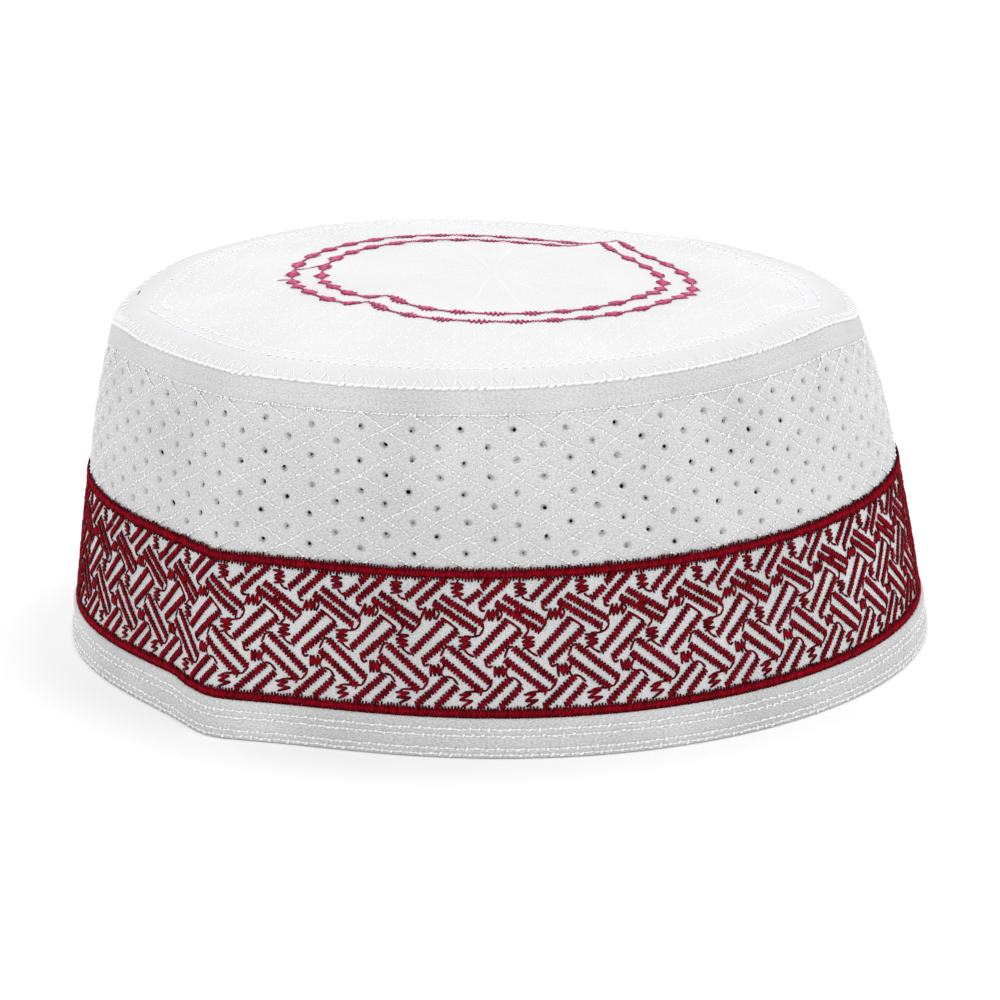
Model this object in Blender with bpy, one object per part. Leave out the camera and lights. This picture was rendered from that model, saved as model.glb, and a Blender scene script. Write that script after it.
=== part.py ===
"""Embroidered prayer cap with a pierced side wall, resting on its hem.

Units are metres, +Z is up and the hem's foot lies on Z = 0. The cap is put away
folded flat along the YZ plane, which leaves a crease down the wall at both ends
(-Y and +Y) and a low ridge across the crown. Every piece is worked out from one
plan outline, which shrinks from the foot's size to the crown's as it climbs.
"""
import math

import bpy
import numpy as np

# Outside sizes of the cap
HEM_LENGTH = 0.1946
HEM_WIDTH = 0.1901
CROWN_LENGTH = 0.1664
CROWN_WIDTH = 0.1579
SEAM_HEIGHT = 0.0749
CENTRE_RISE = 0.0037

# Cloth thicknesses, and the clearance between two pieces that touch
WALL_THICKNESS = 0.002
CROWN_THICKNESS = 0.002
HEM_PLY = 0.001
HEM_PROUD = 0.0008
EMBROIDERY_THICKNESS = 0.0006
GAP = 0.0003

# Heights on the side wall
HEM_HEIGHT = 0.0083
BAND_HEIGHT = 0.0302
BORDER_WIDTH = 0.0024
TOP_MARGIN = 0.0051
HEM_EDGE_ROUND = 0.0009

# Plan outline: fullness between its axes, and the crease at both ends
CORNER_FULLNESS = 0.0012
CREASE_HEM = 0.0065
CREASE_CROWN = 0.0018
CREASE_SPREAD = math.radians(7.2)
CREASE_ROUND = math.radians(2.3)
LEAN_X = -0.0013
LEAN_Y = -0.0011

# Crown: rolled edge, dip where the fold leaves it at the back, tilt and fold ridge
ROLL_WIDTH = 0.0055
ROLL_RISE = 0.0009
RIM_DIP = 0.0053
TILT_X = -0.0217
TILT_Y = -0.0245
RIDGE_FRONT = 0.0019
RIDGE_BACK = 0.0026
RIDGE_WIDTH = 0.0046
RIDGE_ROUND = 0.001
RIDGE_FADE = 0.0283

# Rings of stepped lozenges on the crown
RING_OUTER_RADIUS = 0.0438
RING_INNER_RADIUS = 0.0373
RING_CENTRE_X = -0.0015
RING_CENTRE_Y = 0.0043
LOZENGE_PITCH = 0.0075
LOZENGE_WIDTH = 0.0024
LINK_WIDTH = 0.0007

# Eyelets, one in every second cell of the wall's grid, in staggered rows
EYELET_DIAMETER = 0.0013
EYELET_ROWS = 3
EYELET_SIDES = 6
COLUMNS = 68

# Slope of the wall. Height is a share of SEAM_HEIGHT, inset a share of the way
# in from the foot's plan to the crown's.
WALL_PROFILE = (
    # height, inset
    (0.000, 0.000),
    (0.115, 0.075),
    (0.518, 0.417),
    (0.734, 0.617),
    (0.932, 0.892),
    (1.000, 1.000),
)

# Rolled edge of the crown. Inset is a share of ROLL_WIDTH, rise a share of
# ROLL_RISE, and turn is how far the cloth has turned from upright to level.
ROLL_PROFILE = (
    # inset, rise, turn in degrees
    (0.00, 0.00, 0.0),
    (0.06, 0.42, 12.0),
    (0.31, 0.80, 45.0),
    (1.00, 1.00, 90.0),
)

# Rings of the crown's mesh inside its rolled edge, as shares of their radius
CROWN_RINGS = (0.82, 0.62, 0.42, 0.21)

WHITE_CLOTH = (0.86, 0.86, 0.87, 1.0)
WHITE_HEM = (0.83, 0.83, 0.84, 1.0)
RED_THREAD = (0.30, 0.006, 0.018, 1.0)
PINK_THREAD = (0.50, 0.03, 0.12, 1.0)

SHARP_ANGLE = math.radians(40.0)

BAND_FOOT = HEM_HEIGHT + GAP
BAND_TOP = BAND_FOOT + BAND_HEIGHT
STITCH_HEIGHT = SEAM_HEIGHT - TOP_MARGIN


def clear_scene():
    for scene_object in list(bpy.data.objects):
        bpy.data.objects.remove(scene_object, do_unlink=True)


def make_material(name, colour, roughness):
    material = bpy.data.materials.new(name)
    material.use_nodes = True
    shader = material.node_tree.nodes["Principled BSDF"]
    shader.inputs["Base Color"].default_value = colour
    shader.inputs["Roughness"].default_value = roughness
    shader.inputs["Metallic"].default_value = 0.0
    material.diffuse_color = colour
    return material


def add_body(name, points, faces, material):
    """Turn points and faces into one named object with its material."""
    mesh = bpy.data.meshes.new(name)
    mesh.from_pydata([tuple(point) for point in points], [], faces)
    mesh.materials.append(material)
    mesh.shade_smooth()
    mesh.set_sharp_from_angle(angle=SHARP_ANGLE)
    body = bpy.data.objects.new(name, mesh)
    bpy.context.scene.collection.objects.link(body)
    return body


def mix(low, high, share):
    return low * (1.0 - share) + high * share


def crease_shape(angle):
    """Height of the crease, 1 on the fold line and fading on both sides of it."""
    total = np.zeros_like(angle)
    for crease_angle in (-0.5 * math.pi, 0.5 * math.pi):
        away = np.angle(np.exp(1j * (angle - crease_angle)))
        rounded = np.sqrt(away * away + CREASE_ROUND ** 2) - CREASE_ROUND
        total = total + np.exp(-rounded / CREASE_SPREAD)
    return total


def plan_radius(share, angle):
    """Radius of the wall's outer face, from the foot (share 0) to the crown (share 1).

    A circle plus a cosine of twice the angle gives the oval, a cosine of four
    times the angle fills it out between its axes, and the crease stands on top.
    """
    half_length = mix(0.5 * HEM_LENGTH - HEM_PROUD, 0.5 * CROWN_LENGTH, share)
    half_width = mix(0.5 * HEM_WIDTH - HEM_PROUD, 0.5 * CROWN_WIDTH, share)
    crease = mix(CREASE_HEM, CREASE_CROWN, share)
    mean = 0.5 * (half_length - crease + half_width)
    oval = 0.5 * (half_width - half_length + crease)
    fullness = 0.5 * CORNER_FULLNESS * (1.0 - np.cos(4.0 * angle))
    return mean + oval * np.cos(2.0 * angle) + fullness + crease * crease_shape(angle)


def rim_dip(angle):
    """How far the seam round the crown sinks below its height elsewhere."""
    return RIM_DIP * np.maximum(0.0, np.sin(angle)) ** 4


def plan_point(share, angle):
    radius = plan_radius(share, angle)
    x = radius * np.cos(angle) + LEAN_X * share
    y = radius * np.sin(angle) + LEAN_Y * share
    return np.stack([x, y], axis=-1)


def plan_normal(share, angle):
    """Level direction square to the plan outline, pointing out."""
    step = 1e-4
    along = plan_point(share, angle + step) - plan_point(share, angle - step)
    normal = np.stack([along[..., 1], -along[..., 0]], axis=-1)
    return normal / np.linalg.norm(normal, axis=-1, keepdims=True)


def wall_point(angle, height, offset):
    """Point at a height on the wall, moved out from its outer face by offset."""
    heights, insets = np.array(WALL_PROFILE).T
    climbed = height / SEAM_HEIGHT
    share = np.interp(climbed, heights, insets)
    band_share = BAND_TOP / SEAM_HEIGHT
    sink = np.clip((climbed - band_share) / (1.0 - band_share), 0.0, 1.0)
    level = plan_point(share, angle) + plan_normal(share, angle) * offset
    z = np.full_like(angle, height) - sink * rim_dip(angle)
    return np.column_stack([level, z])


def column_angles():
    return np.linspace(0.0, 2.0 * math.pi, COLUMNS, endpoint=False)


def ring_grid(section):
    """Points of a section carried round the wall: columns by section points."""
    angles = column_angles()
    rows = [wall_point(angles, height, offset) for offset, height in section]
    return np.stack(rows, axis=1)


def closed_ring_faces(columns, rows, skipped=()):
    """Four-sided faces of a section closed on itself and carried round a loop."""
    faces = []
    for column in range(columns):
        following = (column + 1) % columns
        for row in range(rows):
            if (column, row) in skipped:
                continue
            above = (row + 1) % rows
            faces.append((
                column * rows + row,
                following * rows + row,
                following * rows + above,
                column * rows + above,
            ))
    return faces


def add_ring(name, section, material):
    """A closed section of (offset, height) points carried round the wall."""
    grid = ring_grid(section)
    faces = closed_ring_faces(grid.shape[0], grid.shape[1])
    return add_body(name, grid.reshape(-1, 3), faces, material)


def build_hem(material):
    """Folded hem: two plies round the wall's thin lower edge, joined at the foot."""
    out = HEM_PROUD
    slot_out = HEM_PROUD - HEM_PLY
    slot_in = HEM_PLY - HEM_PROUD - WALL_THICKNESS
    inside = -WALL_THICKNESS - HEM_PROUD
    section = (
        (out - 0.5 * HEM_EDGE_ROUND, 0.0),
        (out, HEM_EDGE_ROUND),
        (out, HEM_HEIGHT),
        (slot_out, HEM_HEIGHT),
        (slot_out, HEM_PLY),
        (slot_in, HEM_PLY),
        (slot_in, HEM_HEIGHT),
        (inside, HEM_HEIGHT),
        (inside, 0.0),
    )
    return add_ring("hem_band", section, material)


def pierced_cell(corners, hole):
    """Faces between a cell's four corners and the six-sided hole in its middle."""
    low_left, low_right, high_right, high_left = corners
    right, up_right, up_left, left, down_left, down_right = hole
    return [
        (high_right, high_left, up_left, up_right),
        (high_left, left, up_left),
        (high_left, low_left, left),
        (low_left, down_left, left),
        (low_left, low_right, down_right, down_left),
        (low_right, right, down_right),
        (low_right, high_right, right),
        (high_right, up_right, right),
    ]


def hole_points(corners):
    """Six points of an eyelet in the middle of a cell, spread at its real size."""
    low_left, low_right, high_right, high_left = corners
    middle = (low_left + low_right + high_right + high_left) / 4.0
    across = low_right + high_right - low_left - high_left
    upward = high_left + high_right - low_left - low_right
    across = across / np.linalg.norm(across)
    upward = upward / np.linalg.norm(upward)
    turns = np.arange(EYELET_SIDES) * 2.0 * math.pi / EYELET_SIDES
    spread = np.outer(np.cos(turns), across) + np.outer(np.sin(turns), upward)
    return middle + 0.5 * EYELET_DIAMETER * spread


def build_wall(material):
    """Side wall: a tongue inside the hem, the band, the pierced field and the seam."""
    tongue_out = HEM_PROUD - HEM_PLY - GAP
    tongue_in = -WALL_THICKNESS - tongue_out
    tongue_foot = HEM_PLY + GAP
    rows_from = BAND_TOP
    row_height = (STITCH_HEIGHT - BAND_TOP) / EYELET_ROWS
    levels = [BAND_FOOT, BAND_FOOT + 0.5 * BAND_HEIGHT]
    levels += [rows_from + row_height * row for row in range(EYELET_ROWS + 1)]
    levels.append(SEAM_HEIGHT)
    outer = [(tongue_out, tongue_foot), (tongue_out, BAND_FOOT)]
    outer += [(0.0, level) for level in levels]
    inner = [(-WALL_THICKNESS, level) for level in reversed(levels)]
    inner += [(tongue_in, BAND_FOOT), (tongue_in, tongue_foot)]
    grid = ring_grid(outer + inner)
    columns, rows = grid.shape[:2]
    points = grid.reshape(-1, 3)

    first_row = 2 + levels.index(rows_from)
    skipped = set()
    hole_faces = []
    extra = []
    for hole_row in range(EYELET_ROWS):
        outer_row = first_row + hole_row
        inner_row = rows - 2 - outer_row
        for column in range(hole_row % 2, columns, 2):
            following = (column + 1) % columns
            rims = []
            for low, high in ((outer_row, outer_row + 1), (inner_row + 1, inner_row)):
                corners = [
                    column * rows + low,
                    following * rows + low,
                    following * rows + high,
                    column * rows + high,
                ]
                first = len(points) + len(extra)
                extra.extend(hole_points(points[corners]))
                rim = list(range(first, first + EYELET_SIDES))
                cell = pierced_cell(corners, rim)
                if low > high:
                    cell = [face[::-1] for face in cell]
                hole_faces += cell
                rims.append(rim)
            for side in range(EYELET_SIDES):
                onward = (side + 1) % EYELET_SIDES
                hole_faces.append((rims[0][side], rims[0][onward], rims[1][onward], rims[1][side]))
            skipped.add((column, outer_row))
            skipped.add((column, inner_row))
    faces = closed_ring_faces(columns, rows, skipped) + hole_faces
    return add_body("side_wall", np.vstack([points, np.array(extra)]), faces, material)


def crown_height(x, y):
    """Height of the crown's outer face inside its rolled edge.

    It climbs from the rim to the centre with the square of the distance, tilts a
    little as it does, and carries the fold's ridge along the Y axis, which fades
    out at the centre and at the rim.
    """
    radius = np.hypot(x, y)
    angle = np.arctan2(y, x)
    reach = np.clip(radius / (plan_radius(1.0, angle) - ROLL_WIDTH), 0.0, 1.0)
    rim = SEAM_HEIGHT + ROLL_RISE - rim_dip(angle)
    domed = mix(SEAM_HEIGHT + CENTRE_RISE, rim, reach ** 2)
    inner = 1.0 - reach ** 4
    tilt = (TILT_X * x + TILT_Y * y) * inner
    rounded = np.sqrt(x * x + RIDGE_ROUND ** 2) - RIDGE_ROUND
    ends = np.minimum(1.0, np.abs(y) / RIDGE_FADE)
    ridge = np.where(y < 0.0, RIDGE_FRONT, RIDGE_BACK) * ends * inner
    return domed + tilt + ridge * np.exp(-rounded / RIDGE_WIDTH)


def crown_rows(angles):
    """Rows of the crown's outer face and of its inner face, from the edge inwards."""
    edge = plan_radius(1.0, angles)
    dip = rim_dip(angles)
    outer = []
    inner = []
    for inset, rise, turn in ROLL_PROFILE:
        radius = edge - inset * ROLL_WIDTH
        height = SEAM_HEIGHT + mix(GAP, ROLL_RISE, rise) - dip
        turned = math.radians(turn)
        inner_radius = radius - CROWN_THICKNESS * math.cos(turned)
        inner_height = height - CROWN_THICKNESS * math.sin(turned)
        outer.append((radius, height))
        inner.append((inner_radius, inner_height))
    crest = edge - ROLL_WIDTH
    for share in CROWN_RINGS:
        radius = crest * share
        height = crown_height(radius * np.cos(angles), radius * np.sin(angles))
        outer.append((radius, height))
        inner.append((radius, height - CROWN_THICKNESS))
    return outer, inner


def build_crown(material):
    """Crown panel: a shallow dome with a rolled edge, closed by a point at its centre."""
    angles = column_angles()
    outer, inner = crown_rows(angles)
    rows = inner[::-1] + outer
    layers = [
        np.column_stack([
            radius * np.cos(angles) + LEAN_X,
            radius * np.sin(angles) + LEAN_Y,
            height,
        ])
        for radius, height in rows
    ]
    points = np.stack(layers, axis=1).reshape(-1, 3)
    count = len(rows)
    faces = [
        face
        for face in closed_ring_faces(COLUMNS, count)
        if face[0] % count != count - 1
    ]
    top = SEAM_HEIGHT + CENTRE_RISE
    under = len(points)
    over = under + 1
    centres = np.array([
        (LEAN_X, LEAN_Y, top - CROWN_THICKNESS),
        (LEAN_X, LEAN_Y, top),
    ])
    for column in range(COLUMNS):
        following = (column + 1) % COLUMNS
        faces.append((following * count, column * count, under))
        faces.append((column * count + count - 1, following * count + count - 1, over))
    return add_body("crown_panel", np.vstack([points, centres]), faces, material)


def build_crown_ring(name, ring_radius, material):
    """Ring of lozenges, wide at the middle of each and narrow where two join.

    The sections are spread so that one lies on the fold's ridge at both ends.
    """
    lozenges = 2 * round(math.pi * ring_radius / LOZENGE_PITCH)
    count = 2 * lozenges
    turns = np.linspace(0.0, 2.0 * math.pi, count, endpoint=False)
    spread = math.asin(RING_CENTRE_X / ring_radius)
    angles = turns + spread * np.sin(turns)
    widths = np.where(np.arange(count) % 2 == 1, LOZENGE_WIDTH, LINK_WIDTH)
    rows = []
    for side, lift in ((0.5, GAP), (0.5, GAP + EMBROIDERY_THICKNESS),
                       (-0.5, GAP + EMBROIDERY_THICKNESS), (-0.5, GAP)):
        radius = ring_radius + side * widths
        x = RING_CENTRE_X + radius * np.cos(angles)
        y = RING_CENTRE_Y + radius * np.sin(angles)
        z = crown_height(x, y) + lift
        rows.append(np.column_stack([x + LEAN_X, y + LEAN_Y, z]))
    points = np.stack(rows, axis=1).reshape(-1, 3)
    return add_body(name, points, closed_ring_faces(count, 4), material)


def band_section(low, high, middle=()):
    """Section of a thin layer of needlework lying on the wall's outer face."""
    levels = [low, *middle, high]
    outer = [(GAP + EMBROIDERY_THICKNESS, level) for level in levels]
    inner = [(GAP, level) for level in reversed(levels)]
    return outer + inner


def build_embroidery(border_material, band_material):
    """Red needlework round the wall: two borders and the interlace between them."""
    lower_top = BAND_FOOT + BORDER_WIDTH
    upper_foot = BAND_TOP - BORDER_WIDTH
    add_ring("border_lower", band_section(BAND_FOOT, lower_top), border_material)
    add_ring("border_upper", band_section(upper_foot, BAND_TOP), border_material)
    middle = BAND_FOOT + 0.5 * BAND_HEIGHT
    section = band_section(lower_top + GAP, upper_foot - GAP, (middle,))
    add_ring("embroidery_band", section, band_material)


def main():
    clear_scene()
    white_cloth = make_material("white_cloth", WHITE_CLOTH, 0.75)
    white_hem = make_material("white_hem", WHITE_HEM, 0.8)
    red_border = make_material("red_border", RED_THREAD, 0.55)
    red_interlace = make_material("red_interlace", RED_THREAD, 0.55)
    pink_thread = make_material("pink_thread", PINK_THREAD, 0.55)
    build_hem(white_hem)
    build_wall(white_cloth)
    build_crown(white_cloth)
    build_embroidery(red_border, red_interlace)
    build_crown_ring("crown_ring_outer", RING_OUTER_RADIUS, pink_thread)
    build_crown_ring("crown_ring_inner", RING_INNER_RADIUS, pink_thread)


main()
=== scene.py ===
"""Looks of the embroidered prayer cap: cloth, needlework, white thread, floor, light and camera.

Cloth and thread are laid out in charts and then carried onto the cap. A chart point
on the wall and the hem is (way round, height), at the crown's rim (way round, inset)
and on the crown (x, y), with a third value that lifts it off the cloth. Needlework
is joined meshes of single stitches, worked out as whole arrays.
"""

import math

import bpy
import numpy as np
from mathutils import Matrix


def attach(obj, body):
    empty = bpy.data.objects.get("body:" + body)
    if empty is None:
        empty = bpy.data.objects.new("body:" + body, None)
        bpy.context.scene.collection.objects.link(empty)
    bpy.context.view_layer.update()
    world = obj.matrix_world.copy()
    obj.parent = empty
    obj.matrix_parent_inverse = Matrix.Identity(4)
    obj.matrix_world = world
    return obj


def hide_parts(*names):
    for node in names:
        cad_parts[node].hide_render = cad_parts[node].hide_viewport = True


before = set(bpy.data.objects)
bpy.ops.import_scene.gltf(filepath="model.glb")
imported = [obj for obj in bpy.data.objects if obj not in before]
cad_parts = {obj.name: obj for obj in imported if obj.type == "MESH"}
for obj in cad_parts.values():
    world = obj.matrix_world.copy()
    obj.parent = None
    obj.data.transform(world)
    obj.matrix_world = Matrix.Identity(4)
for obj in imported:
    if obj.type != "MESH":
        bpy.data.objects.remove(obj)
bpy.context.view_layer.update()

MM = 0.001

# Outside sizes of the cap
HEM_LENGTH = 0.1946
HEM_WIDTH = 0.1901
CROWN_LENGTH = 0.1664
CROWN_WIDTH = 0.1579
SEAM_HEIGHT = 0.0749
CENTRE_RISE = 0.0037

# Cloth thicknesses, and the clearance between two pieces that touch
WALL_THICKNESS = 0.002
CROWN_THICKNESS = 0.002
HEM_PLY = 0.001
HEM_PROUD = 0.0008
GAP = 0.0003

# Heights on the side wall
HEM_HEIGHT = 0.0083
BAND_HEIGHT = 0.0302
TOP_MARGIN = 0.0051
BAND_FOOT = HEM_HEIGHT + GAP
BAND_TOP = BAND_FOOT + BAND_HEIGHT
STITCH_HEIGHT = SEAM_HEIGHT - TOP_MARGIN

# Plan outline: fullness between its axes, the crease at both ends, and how far the
# crown stands off the hem's middle
CORNER_FULLNESS = 0.0012
CREASE_HEM = 0.0065
CREASE_CROWN = 0.0018
CREASE_SPREAD = math.radians(7.2)
CREASE_ROUND = math.radians(3.2)
LEAN_X = -0.0013
LEAN_Y = -0.0011

# Small turn over which the outline's direction is measured
PLAN_STEP = 1e-4

# Step of the needlework's foot at the front crease: how high, where and over what length
FOLD_STEP = 0.0012
FOLD_WAY = -0.073
FOLD_STEP_LENGTH = 0.007
FOLD_STEP_FADE = 0.045

# Crown: rolled edge, tilt and fold ridge
ROLL_WIDTH = 0.007
ROLL_RISE = 0.0022
ROLL_POWER = 1.5
TILT_X = -0.0217
TILT_Y = -0.0245
RIDGE_FRONT = 0.0019
RIDGE_BACK = 0.0026
RIDGE_WIDTH = 0.0046
RIDGE_ROUND = 0.001
RIDGE_FADE = 0.0283

# Dip of the crown's seam, where slack cloth sinks: its turning points round from +X
DIP_ANGLES = np.radians([10.0, 42.0, 95.0, 165.0, 185.0, 218.0, 240.0])
DIP_DEPTHS = MM * np.array([0.0, 5.7, 5.1, 1.1, 1.1, 3.5, 0.0])

# Slope of the wall: height as a share of SEAM_HEIGHT, and inset as a share of the
# way in from the foot's plan to the crown's
WALL_HEIGHTS = np.array([0.0, 0.115, 0.518, 0.734, 0.932, 1.0])
WALL_INSETS = np.array([0.0, 0.075, 0.417, 0.617, 0.892, 1.0])
WALL_SLOPES = np.gradient(WALL_INSETS, WALL_HEIGHTS)

# Eyelet field: rhombic cells in staggered rows, the steps of their mesh, the eyelet
# in each, and the drift of the whole field
CELLS_ROUND = 50
CELL_ROWS = 9
CELL_HALF_HEIGHT = (STITCH_HEIGHT - BAND_TOP) / (CELL_ROWS + 1)
CELL_SIDES = 16
STRIP_STEPS = 8
EYELET_RADIUS = 0.00066
EYELET_STRETCH = 1.05
EYELET_JITTER = 0.0003
WANDER = 0.0005
WANDER_UP = 0.7

# Rings of the crown: their centre, which the star shares, radii and lozenges in each
RING_CENTRE = np.array([-0.0015, 0.0043])
RING_OUTER_RADIUS = 0.0438
RING_INNER_RADIUS = 0.0373
OUTER_LOZENGES = 36
INNER_LOZENGES = 32

# Red interlace: how often its motif repeats, and the band's height on the motif's own
# scale, which is about a millimetre to one
MOTIFS_ROUND = 44
BAND_MEASURE = 30.4

# Stitches of the red and white threads: half their width and their height
RED_HALF_WIDTH = 0.00027
RED_RISE = 0.00038
WHITE_HALF_WIDTH = 0.0002
WHITE_RISE = 0.00032

# Beds: how high a thread's underside lies over its chart, and how far that spreads
RED_BED = 0.08 * MM
RED_BED_SPREAD = 0.14 * MM
WHITE_BED = -0.14 * MM
SEAM_BED = 0.02 * MM

# Camera, as turned about the cap's middle, and its distance, height, pitch and roll
CAMERA_TURN = math.radians(38.508)
CAMERA_SIDE = 0.0007
CAMERA_DISTANCE = 1.0567
CAMERA_HEIGHT = 0.3337
CAMERA_PITCH = 0.2816
CAMERA_ROLL = -0.0162
CAMERA_LENS = 179.5

# Lights: the room's, and lamps that turn with the camera
ROOM_LIGHT = 0.95
LIGHTS = (
    # name, place, aim's height, size, power
    ("overhead", (0.1, 0.2, 1.6), 0.0, 1.6, 10.0),
    ("front_left", (-1.2, -1.3, 0.9), 0.04, 0.7, 0.6),
    ("front_right", (1.2, -1.2, 0.9), 0.04, 0.7, 2.0),
)

# Angle on the plan of the band's front, where its way round starts, and how finely
# the way is measured
FRONT_ANGLE = math.radians(308.5)
ROUND_SAMPLES = 7201

random = np.random.default_rng(21)
EYELET_SHIFTS = random.uniform(-EYELET_JITTER, EYELET_JITTER, (CELL_ROWS * CELLS_ROUND, 2))


def mix(low, high, share):
    """Straight blend of two values."""
    return low * (1.0 - share) + high * share


def smooth_step(share):
    """From 0 to 1, level at both ends: three squares less two cubes."""
    return share * share * (3.0 - 2.0 * share)


def crease_shape(angle):
    """Crease height: exp(-distance / spread) from the fold line, rounded at its top, at both ends."""
    total = np.zeros_like(angle)
    for crease_angle in (-0.5 * math.pi, 0.5 * math.pi):
        away = np.angle(np.exp(1j * (angle - crease_angle)))
        rounded = np.sqrt(away * away + CREASE_ROUND ** 2) - CREASE_ROUND
        total = total + np.exp(-rounded / CREASE_SPREAD)
    return total


def plan_radius(share, angle):
    """Circle + oval cosine of twice the angle + fullness of four times it + crease."""
    half_length = mix(0.5 * HEM_LENGTH - HEM_PROUD, 0.5 * CROWN_LENGTH, share)
    half_width = mix(0.5 * HEM_WIDTH - HEM_PROUD, 0.5 * CROWN_WIDTH, share)
    crease = mix(CREASE_HEM, CREASE_CROWN, share)
    mean = 0.5 * (half_length - crease + half_width)
    oval = 0.5 * (half_width - half_length + crease)
    fullness = 0.5 * CORNER_FULLNESS * (1.0 - np.cos(4.0 * angle))
    return mean + oval * np.cos(2.0 * angle) + fullness + crease * crease_shape(angle)


def rim_dip(angle):
    """Dip of the crown's seam: a smooth step from each turning point to the next, nil past both ends."""
    angle = np.mod(angle, 2.0 * math.pi)
    index = np.clip(np.searchsorted(DIP_ANGLES, angle) - 1, 0, len(DIP_ANGLES) - 2)
    span = DIP_ANGLES[index + 1] - DIP_ANGLES[index]
    share = np.clip((angle - DIP_ANGLES[index]) / span, 0.0, 1.0)
    return mix(DIP_DEPTHS[index], DIP_DEPTHS[index + 1], smooth_step(share))


def crown_edge(angle):
    """Radius of the crown's own plan outline."""
    return plan_radius(np.ones_like(angle), angle)


def plan_point(share, angle, offset):
    """Plan outline's point, moved out by offset, square to the run between its two neighbours."""
    step = PLAN_STEP
    radius = plan_radius(share, angle)
    level = np.stack([radius * np.cos(angle), radius * np.sin(angle)], axis=-1)
    before = plan_radius(share, angle - step)
    after = plan_radius(share, angle + step)
    along_x = after * np.cos(angle + step) - before * np.cos(angle - step)
    along_y = after * np.sin(angle + step) - before * np.sin(angle - step)
    size = np.hypot(along_x, along_y)
    out = np.stack([along_y / size, -along_x / size], axis=-1)
    lean = np.stack([LEAN_X * share, LEAN_Y * share], axis=-1)
    return level + out * offset[..., None] + lean


def wall_share(climbed):
    """Inset at a share of the height: cubic curves that pass through the turning points smoothly."""
    index = np.clip(np.searchsorted(WALL_HEIGHTS, climbed) - 1, 0, len(WALL_HEIGHTS) - 2)
    span = WALL_HEIGHTS[index + 1] - WALL_HEIGHTS[index]
    t = (climbed - WALL_HEIGHTS[index]) / span
    from_low = (1.0 + 2.0 * t) * (1.0 - t) ** 2 * WALL_INSETS[index]
    from_high = smooth_step(t) * WALL_INSETS[index + 1]
    slope_low = t * (1.0 - t) ** 2 * span * WALL_SLOPES[index]
    slope_high = t * t * (t - 1.0) * span * WALL_SLOPES[index + 1]
    return from_low + from_high + slope_low + slope_high


def measure_round():
    """Length round the middle of the red band, tabled against the angle from the front."""
    angles = FRONT_ANGLE + np.linspace(0.0, 2.0 * math.pi, ROUND_SAMPLES)
    middle = np.zeros((len(angles), 2))
    for height in (BAND_FOOT, BAND_TOP):
        share = np.full_like(angles, wall_share(np.array(height / SEAM_HEIGHT)))
        middle += 0.5 * plan_point(share, angles, np.zeros_like(angles))
    steps = np.linalg.norm(np.diff(middle, axis=0), axis=1)
    return angles, np.concatenate([[0.0], np.cumsum(steps)])


ROUND_ANGLES, ROUND_LENGTHS = measure_round()
ROUND = ROUND_LENGTHS[-1]
CELL_HALF_WIDTH = 0.5 * ROUND / CELLS_ROUND


def round_angle(way):
    """Angle of a place on the way round, which repeats after one full round."""
    return np.interp(np.mod(way, ROUND), ROUND_LENGTHS, ROUND_ANGLES)


def fold_step(way, height):
    """Lift of the band's foot on the left of the front crease, fading out along, upwards and down the hem."""
    signed = np.mod(way + 0.5 * ROUND, ROUND) - 0.5 * ROUND
    past = FOLD_WAY - signed
    climb = smooth_step(np.clip(past / FOLD_STEP_LENGTH + 0.5, 0.0, 1.0))
    fade = np.exp(-np.maximum(past, 0.0) / FOLD_STEP_FADE)
    upwards = np.clip(height / HEM_HEIGHT, 0.0, 1.0) * np.clip(1.0 - height / BAND_TOP, 0.0, 1.0)
    return FOLD_STEP * climb * fade * upwards


def wander(way, height):
    """Hand-led drift of the eyelet field: sums of sines round and up it, nil at its two edges."""
    share = np.clip((height - BAND_TOP) / (STITCH_HEIGHT - BAND_TOP), 0.0, 1.0)
    hold = WANDER * np.sqrt(share * (1.0 - share))
    turn = 2.0 * math.pi * way / ROUND
    along = np.sin(23.0 * turn + 6.0 * share) + np.sin(41.0 * turn - 11.0 * share)
    upward = np.sin(31.0 * turn - 8.0 * share) + np.sin(53.0 * turn + 5.0 * share)
    return way + hold * along, height + WANDER_UP * hold * upward


def wall_point(way, height, lift):
    """Wall chart to space: plan outline of that height's inset, lifted square to it."""
    way, height, lift = np.broadcast_arrays(way, height, lift)
    way, height = wander(way, height)
    angle = round_angle(way)
    climbed = height / SEAM_HEIGHT
    band_share = BAND_TOP / SEAM_HEIGHT
    sink = np.clip((climbed - band_share) / (1.0 - band_share), 0.0, 1.0)
    level = plan_point(wall_share(climbed), angle, lift)
    z = height - sink * rim_dip(angle) + fold_step(way, height)
    return np.concatenate([level, z[..., None]], axis=-1)


def hem_point(way, height, lift):
    """Hem chart to space: the wall's, moved out to the hem's face."""
    return wall_point(way, height, lift + HEM_PROUD)


def crown_height(x, y):
    """Crown inside its roll: climbs with the square of the radius, tilts, carries the ridge."""
    angle = np.arctan2(y, x)
    edge = crown_edge(angle)
    reach = np.clip(np.hypot(x, y) / (edge - ROLL_WIDTH), 0.0, 1.0)
    rim = SEAM_HEIGHT + ROLL_RISE - rim_dip(angle)
    domed = mix(SEAM_HEIGHT + CENTRE_RISE, rim, reach ** 2)
    inner = 1.0 - reach ** 4
    tilt = (TILT_X * x + TILT_Y * y) * inner
    rounded = np.sqrt(x * x + RIDGE_ROUND ** 2) - RIDGE_ROUND
    ends = np.minimum(1.0, np.abs(y) / RIDGE_FADE)
    ridge = np.where(y < 0.0, RIDGE_FRONT, RIDGE_BACK) * ends * inner
    return domed + tilt + ridge * np.exp(-rounded / RIDGE_WIDTH)


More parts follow.
